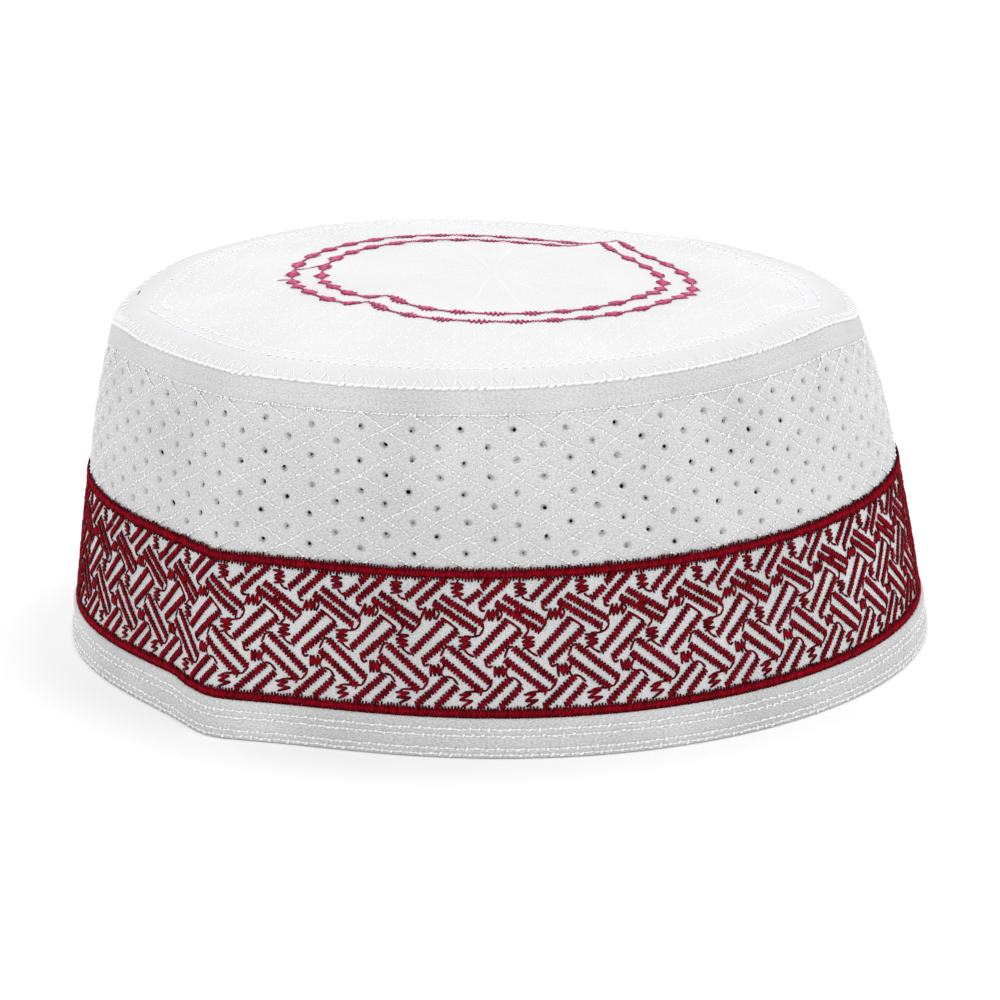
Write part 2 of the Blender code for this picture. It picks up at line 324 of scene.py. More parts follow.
def crown_point(x, y, lift):
    """Crown chart to space: domed inside, a rounded shoulder in the roll at its edge."""
    x, y, lift = np.broadcast_arrays(x, y, lift)
    angle = np.arctan2(y, x)
    edge = crown_edge(angle)
    inset = np.clip((edge - np.hypot(x, y)) / ROLL_WIDTH, 0.0, 1.0)
    shoulder = (1.0 - (1.0 - inset) ** ROLL_POWER) ** (1.0 / ROLL_POWER)
    rolled = SEAM_HEIGHT + mix(GAP, ROLL_RISE, shoulder) - rim_dip(angle)
    z = np.where(inset < 1.0, rolled, crown_height(x, y)) + lift
    return np.stack([x + LEAN_X, y + LEAN_Y, z], axis=-1)


def rim_point(way, inset, lift):
    """Rim chart to space: inset is measured in from the crown's edge, and below zero down the wall."""
    way, inset, lift = np.broadcast_arrays(way, inset, lift)
    angle = round_angle(way)
    edge = crown_edge(angle)
    turned_out = lift * np.clip(1.0 - inset / (0.5 * ROLL_WIDTH), 0.0, 1.0)
    radius = edge - inset + turned_out
    on_crown = crown_point(radius * np.cos(angle), radius * np.sin(angle), lift)
    on_wall = wall_point(way, SEAM_HEIGHT + np.minimum(inset, 0.0), lift)
    return np.where(inset[..., None] < 0.0, on_wall, on_crown)


def add_piece(name, points, faces, chart=None, tone=None):
    """One object from points and faces. A face row has four corners, the last -1 in a triangle."""
    mesh = bpy.data.meshes.new(name)
    used = faces >= 0
    counts = used.sum(axis=1)
    starts = np.cumsum(counts) - counts
    corners = faces[used]
    mesh.vertices.add(len(points))
    mesh.vertices.foreach_set("co", points.astype(np.float32).ravel())
    mesh.loops.add(len(corners))
    mesh.loops.foreach_set("vertex_index", corners.astype(np.int32))
    mesh.polygons.add(len(faces))
    mesh.polygons.foreach_set("loop_start", starts.astype(np.int32))
    mesh.polygons.foreach_set("use_smooth", np.ones(len(faces), bool))
    mesh.update(calc_edges=True)
    if chart is not None:
        across = chart[corners]
        owner = np.repeat(np.arange(len(faces)), counts)
        lowest = np.full(len(faces), np.inf)
        np.minimum.at(lowest, owner, across[:, 0])
        highest = np.full(len(faces), -np.inf)
        np.maximum.at(highest, owner, across[:, 0])
        wrapped = (highest - lowest)[owner] > 0.5 * ROUND
        across[:, 0] += np.where(wrapped & (across[:, 0] < 0.5 * ROUND), ROUND, 0.0)
        layer = mesh.uv_layers.new(name="cloth_chart")
        layer.data.foreach_set("uv", across.astype(np.float32).ravel())
    if tone is not None:
        attribute = mesh.attributes.new("tone", "FLOAT", "POINT")
        attribute.data.foreach_set("value", tone.astype(np.float32))
    piece = bpy.data.objects.new(name, mesh)
    bpy.context.scene.collection.objects.link(piece)
    return piece


def finish_piece(piece, material, slot, *nodes):
    """Give a piece its material, hang it on the root body and hide the model's parts that it replaces."""
    piece.data.materials.append(material)
    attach(piece, "root")
    if nodes:
        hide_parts(*nodes)


# A stitch's ends: how far in on its arch they are cut, and their share of its width.
# Its tone: the darkest that a stitch may draw, and the painted shade at its sides, against 1 along its crest.
END_CUT = 0.1
END_WIDTH = 0.5
LEAST_TONE = 0.3
SIDE_SHADE = 0.08


def stitch_arrays(starts, ends, half_width, rise, surface, stations=3, bed=0.0, bed_spread=0.0):
    """Stitches from start to end in a chart.

    Each is a three-sided thread: its centre runs straight from one end to the other,
    its crest rises and its width swells with the sine of the way along, and it is
    closed at both ends. Returns points, faces and a tone for each point, which falls
    from the crest to the sides and ends, where threads shade one another.
    """
    count = len(starts)
    along = ends - starts
    size = np.linalg.norm(along, axis=1, keepdims=True)
    side = np.column_stack([-along[:, 1], along[:, 0]]) / size * half_width
    t = np.linspace(0.0, 1.0, stations)
    arch = np.sin(math.pi * mix(END_CUT, 1.0 - END_CUT, t))
    centre = starts[:, None, :] + along[:, None, :] * t[None, :, None]
    spread = side[:, None, :] * mix(END_WIDTH, 1.0, arch)[None, :, None]
    chart = np.stack([centre + spread, centre, centre - spread], axis=2)
    base = bed + bed_spread * random.random(count)
    lift = np.zeros((count, stations, 3)) + base[:, None, None]
    lift[:, :, 1] += rise * arch[None, :]
    points = surface(chart[..., 0], chart[..., 1], lift).reshape(-1, 3)
    # Painted shade: each stitch's own drawn tone falls with the arch's square towards its ends and to the
    # side shade at its sides
    shade = np.array([SIDE_SHADE, 1.0, SIDE_SHADE])
    drawn = mix(LEAST_TONE, 1.0, random.random(count))
    tone = (drawn[:, None, None] * (arch ** 2)[None, :, None] * shade).reshape(-1)

    corner = np.arange(3)
    onward = (corner + 1) % 3
    sides = []
    for station in range(stations - 1):
        here = 3 * station
        there = here + 3
        sides.append(np.column_stack([here + corner, here + onward, there + onward, there + corner]))
    last = 3 * (stations - 1)
    caps = np.array([[2, 1, 0, -1], [last, last + 1, last + 2, -1]])
    template = np.vstack(sides + [caps])
    shift = (np.arange(count) * stations * 3)[:, None, None]
    return points, shift_faces(template[None], shift).reshape(-1, 4), tone


def shift_faces(faces, shift):
    """Faces that name points further on by shift. The -1 of a triangle stays."""
    return np.where(faces < 0, -1, faces + shift)


def join_parts(parts):
    """Points and faces of several parts as one."""
    counts = [len(part[0]) for part in parts]
    shifts = np.cumsum(counts) - counts
    points = np.vstack([part[0] for part in parts])
    return points, np.vstack([shift_faces(part[1], shift) for part, shift in zip(parts, shifts)])


def add_stitches(name, parts, material, slot, *nodes):
    """One piece from several sets of stitches, with their tones."""
    points, faces = join_parts(parts)
    piece = add_piece(name, points, faces, tone=np.concatenate([part[2] for part in parts]))
    finish_piece(piece, material, slot, *nodes)


def zigzag(start, end, swing, pitch):
    """Corners of a zigzag: even steps from start to end, swung to one side and the other."""
    start = np.array(start, float)
    end = np.array(end, float)
    steps = max(2, 2 * round(np.linalg.norm(end - start) / pitch))
    t = np.linspace(0.0, 1.0, steps + 1)[:, None]
    sign = np.where(np.arange(steps + 1) % 2 == 0, -1.0, 1.0)[:, None]
    return start + (end - start) * t + np.array(swing) * sign


def spread_motifs(corners, jitter, which="all"):
    """Repeat a line of corners once a motif round the cap, each corner a little off its place."""
    motifs = {"all": range(MOTIFS_ROUND), "even": range(0, MOTIFS_ROUND, 2), "odd": range(1, MOTIFS_ROUND, 2)}
    shifts = np.array(motifs[which]) * ROUND / MOTIFS_ROUND
    lines = np.repeat(corners[None], len(shifts), axis=0)
    lines = lines + random.uniform(-jitter, jitter, lines.shape)
    lines[..., 0] += shifts[:, None]
    return lines[:, :-1].reshape(-1, 2), lines[:, 1:].reshape(-1, 2)


def band_chart(points):
    """Motif millimetres to the wall chart."""
    points = np.array(points, float)
    return np.column_stack([points[:, 0] * MM, BAND_FOOT + points[:, 1] * BAND_HEIGHT / BAND_MEASURE])


# Serrated bars of one motif: where each starts and ends on the motif's scale. Every
# second motif has its first bar in two pieces and a short bar that joins the pair below.
MOTIF_BARS = (
    # which motifs, start way, start height, end way, end height
    ("even", -13.9, 28.4, -18.6, 24.2),
    ("odd", -13.7, 28.6, -15.6, 26.7),
    ("odd", -15.9, 26.0, -19.0, 23.6),
    ("all", -10.2, 28.4, -16.3, 22.9),
    ("all", -11.2, 24.9, -2.7, 19.3),
    ("all", -12.7, 23.5, -4.1, 17.7),
    ("odd", -9.0, 22.2, -7.6, 21.0),
    ("all", -10.6, 20.0, -17.6, 12.8),
    ("all", -8.0, 17.8, -15.4, 11.2),
    ("all", -9.6, 14.3, -1.3, 6.9),
    ("all", -11.4, 11.9, -3.3, 5.1),
    ("all", -10.4, 8.0, -16.9, 1.9),
    ("all", -8.3, 6.3, -12.7, 1.9),
)
BAR_HALF_SWING = 0.79 * MM
BAR_LEAN = 0.35
BAR_PITCH = 0.75 * MM
BAR_JITTER = 0.07 * MM

# Combs of loose stitches of one motif: middle, run from first to last, swing and pitch
MOTIF_COMBS = (
    # way, height, run along, run up, swing along, swing up, pitch
    (-20.7, 26.3, 0.2, -2.6, 1.25, 0.12, 0.95),
    (-13.8, 21.1, 2.8, 0.1, 0.30, 1.25, 0.95),
    (-6.5, 15.3, 0.2, -2.5, 1.30, 0.15, 0.95),
    (-12.6, 9.5, 2.3, 0.1, -0.25, 1.20, 0.80),
    (-6.5, 3.7, 0.5, -2.3, 1.30, 0.35, 0.95),
)

COMB_JITTER = 0.2 * MM
COMB_HALF_WIDTH = 1.15 * RED_HALF_WIDTH
COMB_BED = 0.06 * MM
COMB_BED_SPREAD = 0.1 * MM

# Single threads that lead from one bar or comb of a motif to the next
MOTIF_LINKS = (
    ("all", (-20.7, 28.4), (-20.6, 27.4)),
    ("all", (-20.4, 24.9), (-19.8, 24.2), (-18.7, 23.9)),
    ("all", (-16.3, 22.9), (-16.0, 21.9), (-15.1, 22.0)),
    ("all", (-12.4, 20.0), (-11.6, 21.3), (-13.0, 23.2), (-12.3, 24.1)),
    ("even", (-2.7, 19.3), (-2.6, 18.0), (-3.4, 16.9), (-5.0, 16.5), (-6.6, 16.6)),
    ("odd", (-2.6, 19.3), (-4.1, 17.5)),
    ("odd", (-6.6, 18.9), (-6.4, 17.7), (-7.4, 16.6)),
    ("all", (-6.9, 14.1), (-5.9, 13.1), (-4.8, 12.4)),
    ("all", (-11.0, 20.3), (-7.9, 17.9)),
    ("all", (-15.4, 11.2), (-14.9, 10.2), (-14.0, 10.6)),
    ("all", (-11.5, 9.2), (-10.9, 10.6), (-11.6, 11.8)),
    ("all", (-11.5, 12.3), (-10.6, 14.2), (-9.6, 14.6)),
    ("all", (-1.3, 6.9), (-2.4, 5.4), (-4.4, 5.2), (-6.6, 5.1), (-7.6, 4.3)),
    ("all", (-10.4, 8.2), (-9.2, 7.9), (-8.2, 6.6)),
)
LINK_JITTER = 0.1 * MM
LINK_HALF_WIDTH = 1.1 * RED_HALF_WIDTH
LINK_RISE = 0.8 * RED_RISE
LINK_BED = 0.04 * MM

# Red borders: their middles, and each layer's swing, pitch and raggedness
LOWER_BORDER = BAND_FOOT + 0.65 * MM
UPPER_BORDER = BAND_TOP - 0.95 * MM
BORDER_LAYERS = MM * np.array([[1.34, 0.66, 0.28], [0.84, 0.5, 0.16]])
BORDER_LEAN = 0.08 * MM
BORDER_JITTER = 0.05 * MM
BORDER_HALF_WIDTH = 0.9 * RED_HALF_WIDTH
BORDER_BED = 0.04 * MM
BORDER_BED_SPREAD = 0.24 * MM


def bar_swing(start, end):
    """Swing of a bar's zigzag: square to the bar, leaned towards upright."""
    along = (end - start) / np.linalg.norm(end - start)
    square = np.array([-along[1], along[0]])
    if square[1] < 0.0:
        square = -square
    leaned = square + np.array([0.0, BAR_LEAN])
    return BAR_HALF_SWING * leaned / np.linalg.norm(leaned)


def add_interlace(material):
    """Red interlace: serrated bars as dense zigzags, combs as loose ones, links as lines."""
    bars = {"interlace_rising": [], "interlace_falling": []}
    for which, from_way, from_height, to_way, to_height in MOTIF_BARS:
        start, end = band_chart([(from_way, from_height), (to_way, to_height)])
        corners = zigzag(start, end, bar_swing(start, end), BAR_PITCH)
        starts, ends = spread_motifs(corners, BAR_JITTER, which)
        rising = (to_way - from_way) * (to_height - from_height) > 0.0
        piece = "interlace_rising" if rising else "interlace_falling"
        bars[piece].append(stitch_arrays(starts, ends, RED_HALF_WIDTH, RED_RISE, wall_point, 4,
                                         bed=RED_BED, bed_spread=RED_BED_SPREAD))
    for name, parts in bars.items():
        add_stitches(name, parts, material, "red_interlace", "embroidery_band")
    loose = []
    for way, height, run_along, run_up, swing_along, swing_up, pitch in MOTIF_COMBS:
        start, end = band_chart([
            (way - 0.5 * run_along, height - 0.5 * run_up),
            (way + 0.5 * run_along, height + 0.5 * run_up),
        ])
        corners = zigzag(start, end, (swing_along * MM, swing_up * MM), pitch * MM)
        starts, ends = spread_motifs(corners, COMB_JITTER)
        loose.append(stitch_arrays(starts, ends, COMB_HALF_WIDTH, RED_RISE, wall_point, 4,
                                   bed=COMB_BED, bed_spread=COMB_BED_SPREAD))
    for which, *link in MOTIF_LINKS:
        starts, ends = spread_motifs(band_chart(link), LINK_JITTER, which)
        loose.append(stitch_arrays(starts, ends, LINK_HALF_WIDTH, LINK_RISE, wall_point, bed=LINK_BED))
    add_stitches("interlace_links", loose, material, "red_interlace", "embroidery_band")


def add_border(name, middle, material):
    """Red border: a wide upright zigzag that leaves teeth, over a dense narrow one."""
    parts = []
    for swing, pitch, ragged in BORDER_LAYERS:
        corners = zigzag((0.0, middle), (ROUND, middle), (BORDER_LEAN, swing), pitch)
        corners[:, 1] += random.uniform(-ragged, ragged, len(corners))
        corners[:, 0] += random.uniform(-BORDER_JITTER, BORDER_JITTER, len(corners))
        parts.append(stitch_arrays(corners[:-1], corners[1:], BORDER_HALF_WIDTH, RED_RISE, wall_point,
                                   bed=BORDER_BED, bed_spread=BORDER_BED_SPREAD))
    add_stitches(name + "_thread", parts, material, "red_border", name)


# Chart points closer than a weld step are one point. The shift keeps the cells' own
# places away from the rounding's limits.
WELD_STEP = 1e-5
WELD_SHIFT = 0.137


def chart_keys(points):
    """Whole numbers for a place on the wall chart, the same for points that meet."""
    way = np.mod(points[:, 0] + 0.1 * WELD_STEP, ROUND)
    return np.floor(np.column_stack([way, points[:, 1]]) / WELD_STEP + WELD_SHIFT)


def weld_chart(tiles):
    """Join tiles that meet: points with one chart place and layer become one point.

    A tile's point is (way round, height, lift, layer), where the layer is 0 on the
    wall's outer face and 1 on its inner one.
    """
    points, faces = join_parts(tiles)
    keys = np.column_stack([chart_keys(points), points[:, 3]])
    _, first, index = np.unique(keys, axis=0, return_index=True, return_inverse=True)
    index = index.reshape(-1)
    return points[first], np.where(faces < 0, -1, index[np.maximum(faces, 0)])


def ring_faces(rings, sides):
    """Quads between rings of a disc with a hole, anticlockwise, innermost ring first."""
    ring = np.arange(rings - 1)[:, None]
    side = np.arange(sides)[None, :]
    after = (side + 1) % sides
    inner = ring * sides
    outer = inner + sides
    quads = np.stack([inner + side, outer + side, outer + after, inner + after], axis=-1)
    return quads.reshape(-1, 4)


def grid_faces(rows, columns):
    """Quads of a grid whose rows go up and columns go to the right."""
    row = np.arange(rows - 1)[:, None]
    column = np.arange(columns - 1)[None, :]
    low = row * columns + column
    quads = np.stack([low, low + 1, low + columns + 1, low + columns], axis=-1)
    return quads.reshape(-1, 4)


def repeat_tile(tile, faces, centres):
    """Copy a tile's chart points and faces to each centre."""
    count = len(centres)
    points = np.repeat(tile[None], count, axis=0)
    points[:, :, 0] += centres[:, 0][:, None]
    points[:, :, 1] += centres[:, 1][:, None]
    shift = (np.arange(count) * len(tile))[:, None, None]
    return points.reshape(-1, 4), shift_faces(faces[None], shift).reshape(-1, 4)


# Rings of a cell from its eyelet to its quilted edge
OUTER_CELL_RINGS = (
    # share of the way out, lift in millimetres
    (0.00, -0.52),
    (0.035, -0.10),
    (0.13, 0.03),
    (0.34, 0.09),
    (0.64, 0.11),
    (0.88, 0.05),
    (1.00, -0.24),
)
INNER_CELL_RINGS = (
    (0.00, -0.62),
    (1.00, -2.00),
)
INNER_EYELET_SHRINK = (0.10, 0.60)
INNER_EYELET_SHIFT = 0.00038

# Wall beside its cells: the shoulder that steps out over the hem, the end and mesh rows
# of the band's flat ground, the puff of the half cells, and the margin under the seam
# as shares of its height and lifts in millimetres, with a groove for its line
SHOULDER = 0.6 * MM
SHOULDER_ROUND = 0.1 * MM
GROUND_END = 1.0 * MM
GROUND_ROWS = 11
INNER_ROWS = 5
HALF_CELL_PUFF = 0.2 * MM
MARGIN_PROFILE = (
    (0.00, OUTER_CELL_RINGS[-1][1]), (0.08, 0.06), (0.26, 0.12), (0.40, 0.10), (0.46, 0.02),
    (0.52, 0.10), (0.72, 0.12), (0.88, 0.08), (1.00, -0.05),
)


def cell_tile(rings, layer):
    """Rhombic cell: rings that change evenly from the round eyelet to the rhombus."""
    turn = np.arange(CELL_SIDES) / CELL_SIDES * 4.0
    edge = np.floor(turn)
    part = turn - edge
    bound_x = np.select([edge == 0, edge == 1, edge == 2], [1.0 - part, -part, part - 1.0], part)
    bound_y = np.select([edge == 0, edge == 1, edge == 2], [part, 1.0 - part, -part], part - 1.0)
    bound = np.column_stack([bound_x * CELL_HALF_WIDTH, bound_y * CELL_HALF_HEIGHT])
    angle = turn * 0.5 * math.pi
    hole = EYELET_RADIUS * np.column_stack([EYELET_STRETCH * np.cos(angle), np.sin(angle)])
    points = [
        np.column_stack([
            mix(hole, bound, share),
            np.full(CELL_SIDES, lift * MM),
            np.full(CELL_SIDES, layer),
        ])
        for share, lift in rings
    ]
    return np.vstack(points), ring_faces(len(rings), CELL_SIDES)


def half_cell_tile(upward, layer, edge_lift, puff):
    """Half a rhombus as a fan of rings round the middle of its level side.

    It puffs with six times the product of its height and the slack left to its edge.
    """
    rays = STRIP_STEPS + 1
    across = np.linspace(1.0, -1.0, rays)
    bound = np.column_stack([across * CELL_HALF_WIDTH, (1.0 - np.abs(across)) * CELL_HALF_HEIGHT])
    shares = np.linspace(0.0, 1.0, STRIP_STEPS // 2 + 1)[1:]
    points = [np.array([[0.0, 0.0, edge_lift, layer]])]
    for share in shares:
        inner = share * bound
        height = inner[:, 1] / CELL_HALF_HEIGHT
        slack = np.maximum(0.0, 1.0 - np.abs(inner[:, 0]) / CELL_HALF_WIDTH - height)
        lift = edge_lift + 6.0 * puff * height * slack
        points.append(np.column_stack([inner, lift, np.full(rays, layer)]))
    points = np.vstack(points)
    fan = [[0, 1 + ray, 2 + ray, -1] for ray in range(rays - 1)]
    quads = []
    for ring in range(len(shares) - 1):
        low = 1 + ring * rays
        high = low + rays
        quads += [[low + ray, high + ray, high + ray + 1, low + ray + 1] for ray in range(rays - 1)]
    faces = np.array(fan + quads)
    if upward:
        return points, faces
    points[:, 1] = -points[:, 1]
    return flip((points, faces))


def strip(rows, layer):
    """Plain strip round the cap from (height, lift) rows, in step with the cells."""
    columns = CELLS_ROUND * STRIP_STEPS + 1
    way = np.arange(columns) * ROUND / (columns - 1)
    points = [
        np.column_stack([way, np.full(columns, height), np.full(columns, lift), np.full(columns, layer)])
        for height, lift in rows
    ]
    return np.vstack(points), grid_faces(len(rows), columns)


def flip(tile):
    """The same tile with its faces turned round."""
    points, faces = tile
    turned = np.where(faces[:, 3:4] < 0, faces[:, [2, 1, 0, 3]], faces[:, ::-1])
    return points, turned


def wall_layer(layer, rings, edge_lift, puff, low_rows, high_rows):
    """One face of the wall: cells, the half cells above and below them, and plain strips.

    A cell's inner rings move with its eyelet, by one less the ring's share of the way out.
    """
    cell_points, cell_faces = cell_tile(rings, layer)
    centres = []
    for row in range(1, CELL_ROWS + 1):
        way = (np.arange(CELLS_ROUND) * 2 + row % 2) * CELL_HALF_WIDTH
        centres.append(np.column_stack([way, np.full(CELLS_ROUND, BAND_TOP + row * CELL_HALF_HEIGHT)]))
    cells, faces = repeat_tile(cell_points, cell_faces, np.vstack(centres))
    share = np.repeat([ring[0] for ring in rings], CELL_SIDES)
    shifts = EYELET_SHIFTS[:, None, :] * (1.0 - share)[None, :, None]
    cells[:, :2] += shifts.reshape(-1, 2)
    tiles = [(cells, faces)]
    for upward, height in ((True, BAND_TOP), (False, STITCH_HEIGHT)):
        half_points, half_faces = half_cell_tile(upward, layer, edge_lift, puff)
        way = np.arange(CELLS_ROUND) * 2 * CELL_HALF_WIDTH
        spots = np.column_stack([way, np.full(CELLS_ROUND, height)])
        tiles.append(repeat_tile(half_points, half_faces, spots))
    tiles.append(strip(low_rows, layer))
    tiles.append(strip(high_rows, layer))
    return tiles


def add_wall(material):
    """Side wall: outer and inner face joined at the foot, at the seam and in each eyelet."""
    outer_edge = OUTER_CELL_RINGS[-1][1] * MM
    tongue_out = HEM_PROUD - HEM_PLY - GAP
    tongue_foot = HEM_PLY + GAP
    hem_line = BAND_FOOT - SHOULDER
    ground_foot = BAND_FOOT + SHOULDER
    low_outer = [
        (tongue_foot, tongue_out),
        (hem_line, tongue_out),
        (BAND_FOOT - SHOULDER_ROUND, -SHOULDER_ROUND),
    ]
    low_outer += [(height, 0.0) for height in np.linspace(ground_foot, BAND_TOP - GROUND_END, GROUND_ROWS)]
    low_outer.append((BAND_TOP, outer_edge))
    high_outer = [(STITCH_HEIGHT + share * TOP_MARGIN, lift * MM) for share, lift in MARGIN_PROFILE]
    high_outer.append((SEAM_HEIGHT + GAP, -GAP))
    thick = -WALL_THICKNESS
    low_inner = [(tongue_foot, thick - tongue_out), (hem_line, thick - tongue_out)]
    low_inner += [(height, thick) for height in np.linspace(ground_foot, BAND_TOP, INNER_ROWS)]
    high_inner = [(STITCH_HEIGHT, thick), (SEAM_HEIGHT + GAP, thick)]
    tiles = wall_layer(0.0, OUTER_CELL_RINGS, outer_edge, HALF_CELL_PUFF, low_outer, high_outer)
    inner = wall_layer(1.0, INNER_CELL_RINGS, thick, 0.0, low_inner, high_inner)
    tiles += [flip(tile) for tile in inner]
    points, faces = weld_chart(tiles)
    faces, inner_rims = close_layers(points, faces)
    points = shift_inner_eyelets(points, inner_rims)
    place = wall_point(points[:, 0], points[:, 1], points[:, 2])
    piece = add_piece("wall_cloth", place, faces, chart=points[:, :2])
    finish_piece(piece, material, "white_wall", "side_wall")


def close_layers(points, faces):
    """Join the open edges of the outer layer to the inner layer's, point by point.

    An open edge is used by one face only. Its two points are matched with the inner
    layer's open points in the same order round each eyelet, foot and seam.
    """
    used = faces >= 0
    counts = used.sum(axis=1)
    following = np.where(np.arange(4)[None, :] + 1 < counts[:, None], np.arange(4)[None, :] + 1, 0)
    ends = np.take_along_axis(faces, following, axis=1)
    edges = np.column_stack([faces[used], ends[used]])
    ordered = np.sort(edges, axis=1)
    keys = ordered[:, 0] * len(points) + ordered[:, 1]
    _, index, repeats = np.unique(keys, return_index=True, return_counts=True)
    open_edges = edges[index[repeats == 1]]
    open_points = np.unique(open_edges)
    outer = open_points[points[open_points, 3] == 0.0]
    inner = open_points[points[open_points, 3] == 1.0]

    def order(chosen):
        keys = chart_keys(points[chosen])
        return chosen[np.lexsort((keys[:, 0], keys[:, 1]))]

    partner = np.full(len(points), -1)
    partner[order(outer)] = order(inner)
    outer_edges = open_edges[points[open_edges[:, 0], 3] == 0.0]
    first = outer_edges[:, 0]
    second = outer_edges[:, 1]
    walls = np.column_stack([second, first, partner[first], partner[second]])
    return np.vstack([faces, walls]), inner


def shift_inner_eyelets(points, rims):
    """Draw each inner eyelet in and shift it a little, as the two plies never match quite."""
    height = points[rims, 1]
    rims = rims[(height > BAND_TOP + WELD_STEP) & (height < STITCH_HEIGHT - WELD_STEP)]
    row = np.round((points[rims, 1] - BAND_TOP) / CELL_HALF_HEIGHT).astype(int)
    stagger = np.mod(row, 2)
    column = np.round((points[rims, 0] / CELL_HALF_WIDTH - stagger) / 2.0).astype(int)
    middle = np.column_stack([(2 * column + stagger) * CELL_HALF_WIDTH, BAND_TOP + row * CELL_HALF_HEIGHT])
    column = np.mod(column, CELLS_ROUND)
    shifts = random.uniform(-1.0, 1.0, (CELL_ROWS + 2, CELLS_ROUND, 2)) * INNER_EYELET_SHIFT
    shrinks = random.uniform(*INNER_EYELET_SHRINK, (CELL_ROWS + 2, CELLS_ROUND, 1))
    moved = middle + (points[rims, :2] - middle) * shrinks[row, column]
    points[rims, :2] = moved + shifts[row, column]
    return points


def place_facing(thing, right, up, ahead, place):
    """Put a camera or light at its place, with right and up across its view, looking ahead."""
    bpy.context.scene.collection.objects.link(thing)
    matrix = np.eye(4)
    matrix[:3, 0] = right
    matrix[:3, 1] = up
    matrix[:3, 2] = -ahead
    matrix[:3, 3] = place
    thing.matrix_world = Matrix(matrix.tolist())


def add_camera():
    """Camera at the photograph's place: pitched down, then rolled about its own axis."""
    turn = np.array([
        [math.cos(CAMERA_TURN), -math.sin(CAMERA_TURN), 0.0],
        [math.sin(CAMERA_TURN), math.cos(CAMERA_TURN), 0.0],
        [0.0, 0.0, 1.0],
    ])
    place = turn @ np.array([CAMERA_SIDE, -CAMERA_DISTANCE, CAMERA_HEIGHT])
    ahead = turn @ np.array([0.0, math.cos(CAMERA_PITCH), -math.sin(CAMERA_PITCH)])
    level = turn @ np.array([1.0, 0.0, 0.0])
    upright = turn @ np.array([0.0, math.sin(CAMERA_PITCH), math.cos(CAMERA_PITCH)])
    right = level * math.cos(CAMERA_ROLL) + upright * math.sin(CAMERA_ROLL)
    up = upright * math.cos(CAMERA_ROLL) - level * math.sin(CAMERA_ROLL)
    data = bpy.data.cameras.new("camera")
    data.lens = CAMERA_LENS
    data.sensor_width = 36.0
    data.clip_start = 0.05
    camera = bpy.data.objects.new("camera", data)
    place_facing(camera, right, up, ahead, place)
    bpy.context.scene.camera = camera
    return turn


def ring_section_faces(rows, columns):
    """Quads of a closed section carried round a loop: rows by columns, both closed."""
    row = np.arange(rows)[:, None]
    column = np.arange(columns)[None, :]
    above = (row + 1) % rows
    after = (column + 1) % columns
    quads = [row * columns + column, row * columns + after, above * columns + after, above * columns + column]
    return np.stack(quads, axis=-1).reshape(-1, 4)


# Hem: heights of its stitch rows, puff between them, half the width of their grooves,
# rounding of its foot, lip at its top, steps of its mesh, and its stitches
HEM_ROWS = (0.0061, 0.0047, 0.0020, 0.0008)
HEM_PUFF = 0.0002
HEM_GROOVE = 0.00035
HEM_ROUND = 0.0007
HEM_LIP = 0.0004
HEM_FACE_ROWS = 22
HEM_COLUMNS = 500
HEM_BED = -0.12 * MM
HEM_STITCH_SIZE = 1.25
HEM_ROW_SHIFT = 0.7 * MM


def hem_lift(height):
    """Puff of the hem's outer face: a groove along each stitch row, full in between."""
    nearest = np.min(np.abs(np.subtract.outer(height, np.array(HEM_ROWS))), axis=-1)
    return HEM_PUFF * (1.0 - 2.0 * np.exp(-(nearest / HEM_GROOVE) ** 2))


def add_hem(material):
    """Hem: a closed U section round the wall's foot, its outer face puffed between stitch rows."""
    turn = np.linspace(0.0, 0.5 * math.pi, 5)
    outer_heights = np.linspace(HEM_ROUND, HEM_HEIGHT - HEM_LIP, HEM_FACE_ROWS)
    outer_face = [(hem_lift(height), height) for height in outer_heights]
    foot_out = [(-HEM_ROUND * (1.0 - math.sin(a)), HEM_ROUND * (1.0 - math.cos(a))) for a in turn[:-1]]
    top = [
        (-0.5 * HEM_LIP, HEM_HEIGHT - 0.25 * HEM_LIP),
        (-1.5 * HEM_LIP, HEM_HEIGHT),
        (-HEM_PLY, HEM_HEIGHT - 0.5 * HEM_LIP),
    ]
    slot_in = HEM_PLY - 2.0 * HEM_PROUD - WALL_THICKNESS
    inside = -WALL_THICKNESS - 2.0 * HEM_PROUD
    inner = [
        (-HEM_PLY, HEM_PLY), (slot_in, HEM_PLY), (slot_in, HEM_HEIGHT), (inside, HEM_HEIGHT),
        (inside, HEM_ROUND), (inside + HEM_ROUND, 0.0),
    ]
    section = np.array(foot_out + outer_face + top + inner)
    way = np.arange(HEM_COLUMNS) * ROUND / HEM_COLUMNS
    lift = np.repeat(section[:, 0][:, None], HEM_COLUMNS, axis=1)
    height = np.repeat(section[:, 1][:, None], HEM_COLUMNS, axis=1)
    place = hem_point(way[None, :], height, lift).reshape(-1, 3)
    run = np.concatenate([[0.0], np.cumsum(np.linalg.norm(np.diff(section, axis=0), axis=1))])
    chart = np.column_stack([np.tile(way, len(section)), np.repeat(run, HEM_COLUMNS)])
    piece = add_piece("hem_cloth", place, ring_section_faces(len(section), HEM_COLUMNS), chart=chart)
    finish_piece(piece, material, "white_hem", "hem_band")


# Quilting of the crown: rhombic cells on one straight grid, where the rings keep it
# out, the fade at its edge, and its stitches
CROWN_GRID_ANGLE = math.radians(78.5)
CROWN_HALF_LENGTH = 0.00525
CROWN_HALF_WIDTH = 0.0031
CROWN_PUFF = 0.00012
QUILT_INSIDE = 0.0475
QUILT_FADE = 0.0015
QUILT_STITCH_SIZE = 0.8
QUILT_BED = -0.2 * MM

# Stitch lines round the crown inside its roll, and how wide they sink
RIM_LINES = (0.0082, 0.0112)
LINE_HALF_WIDTH = 0.0007
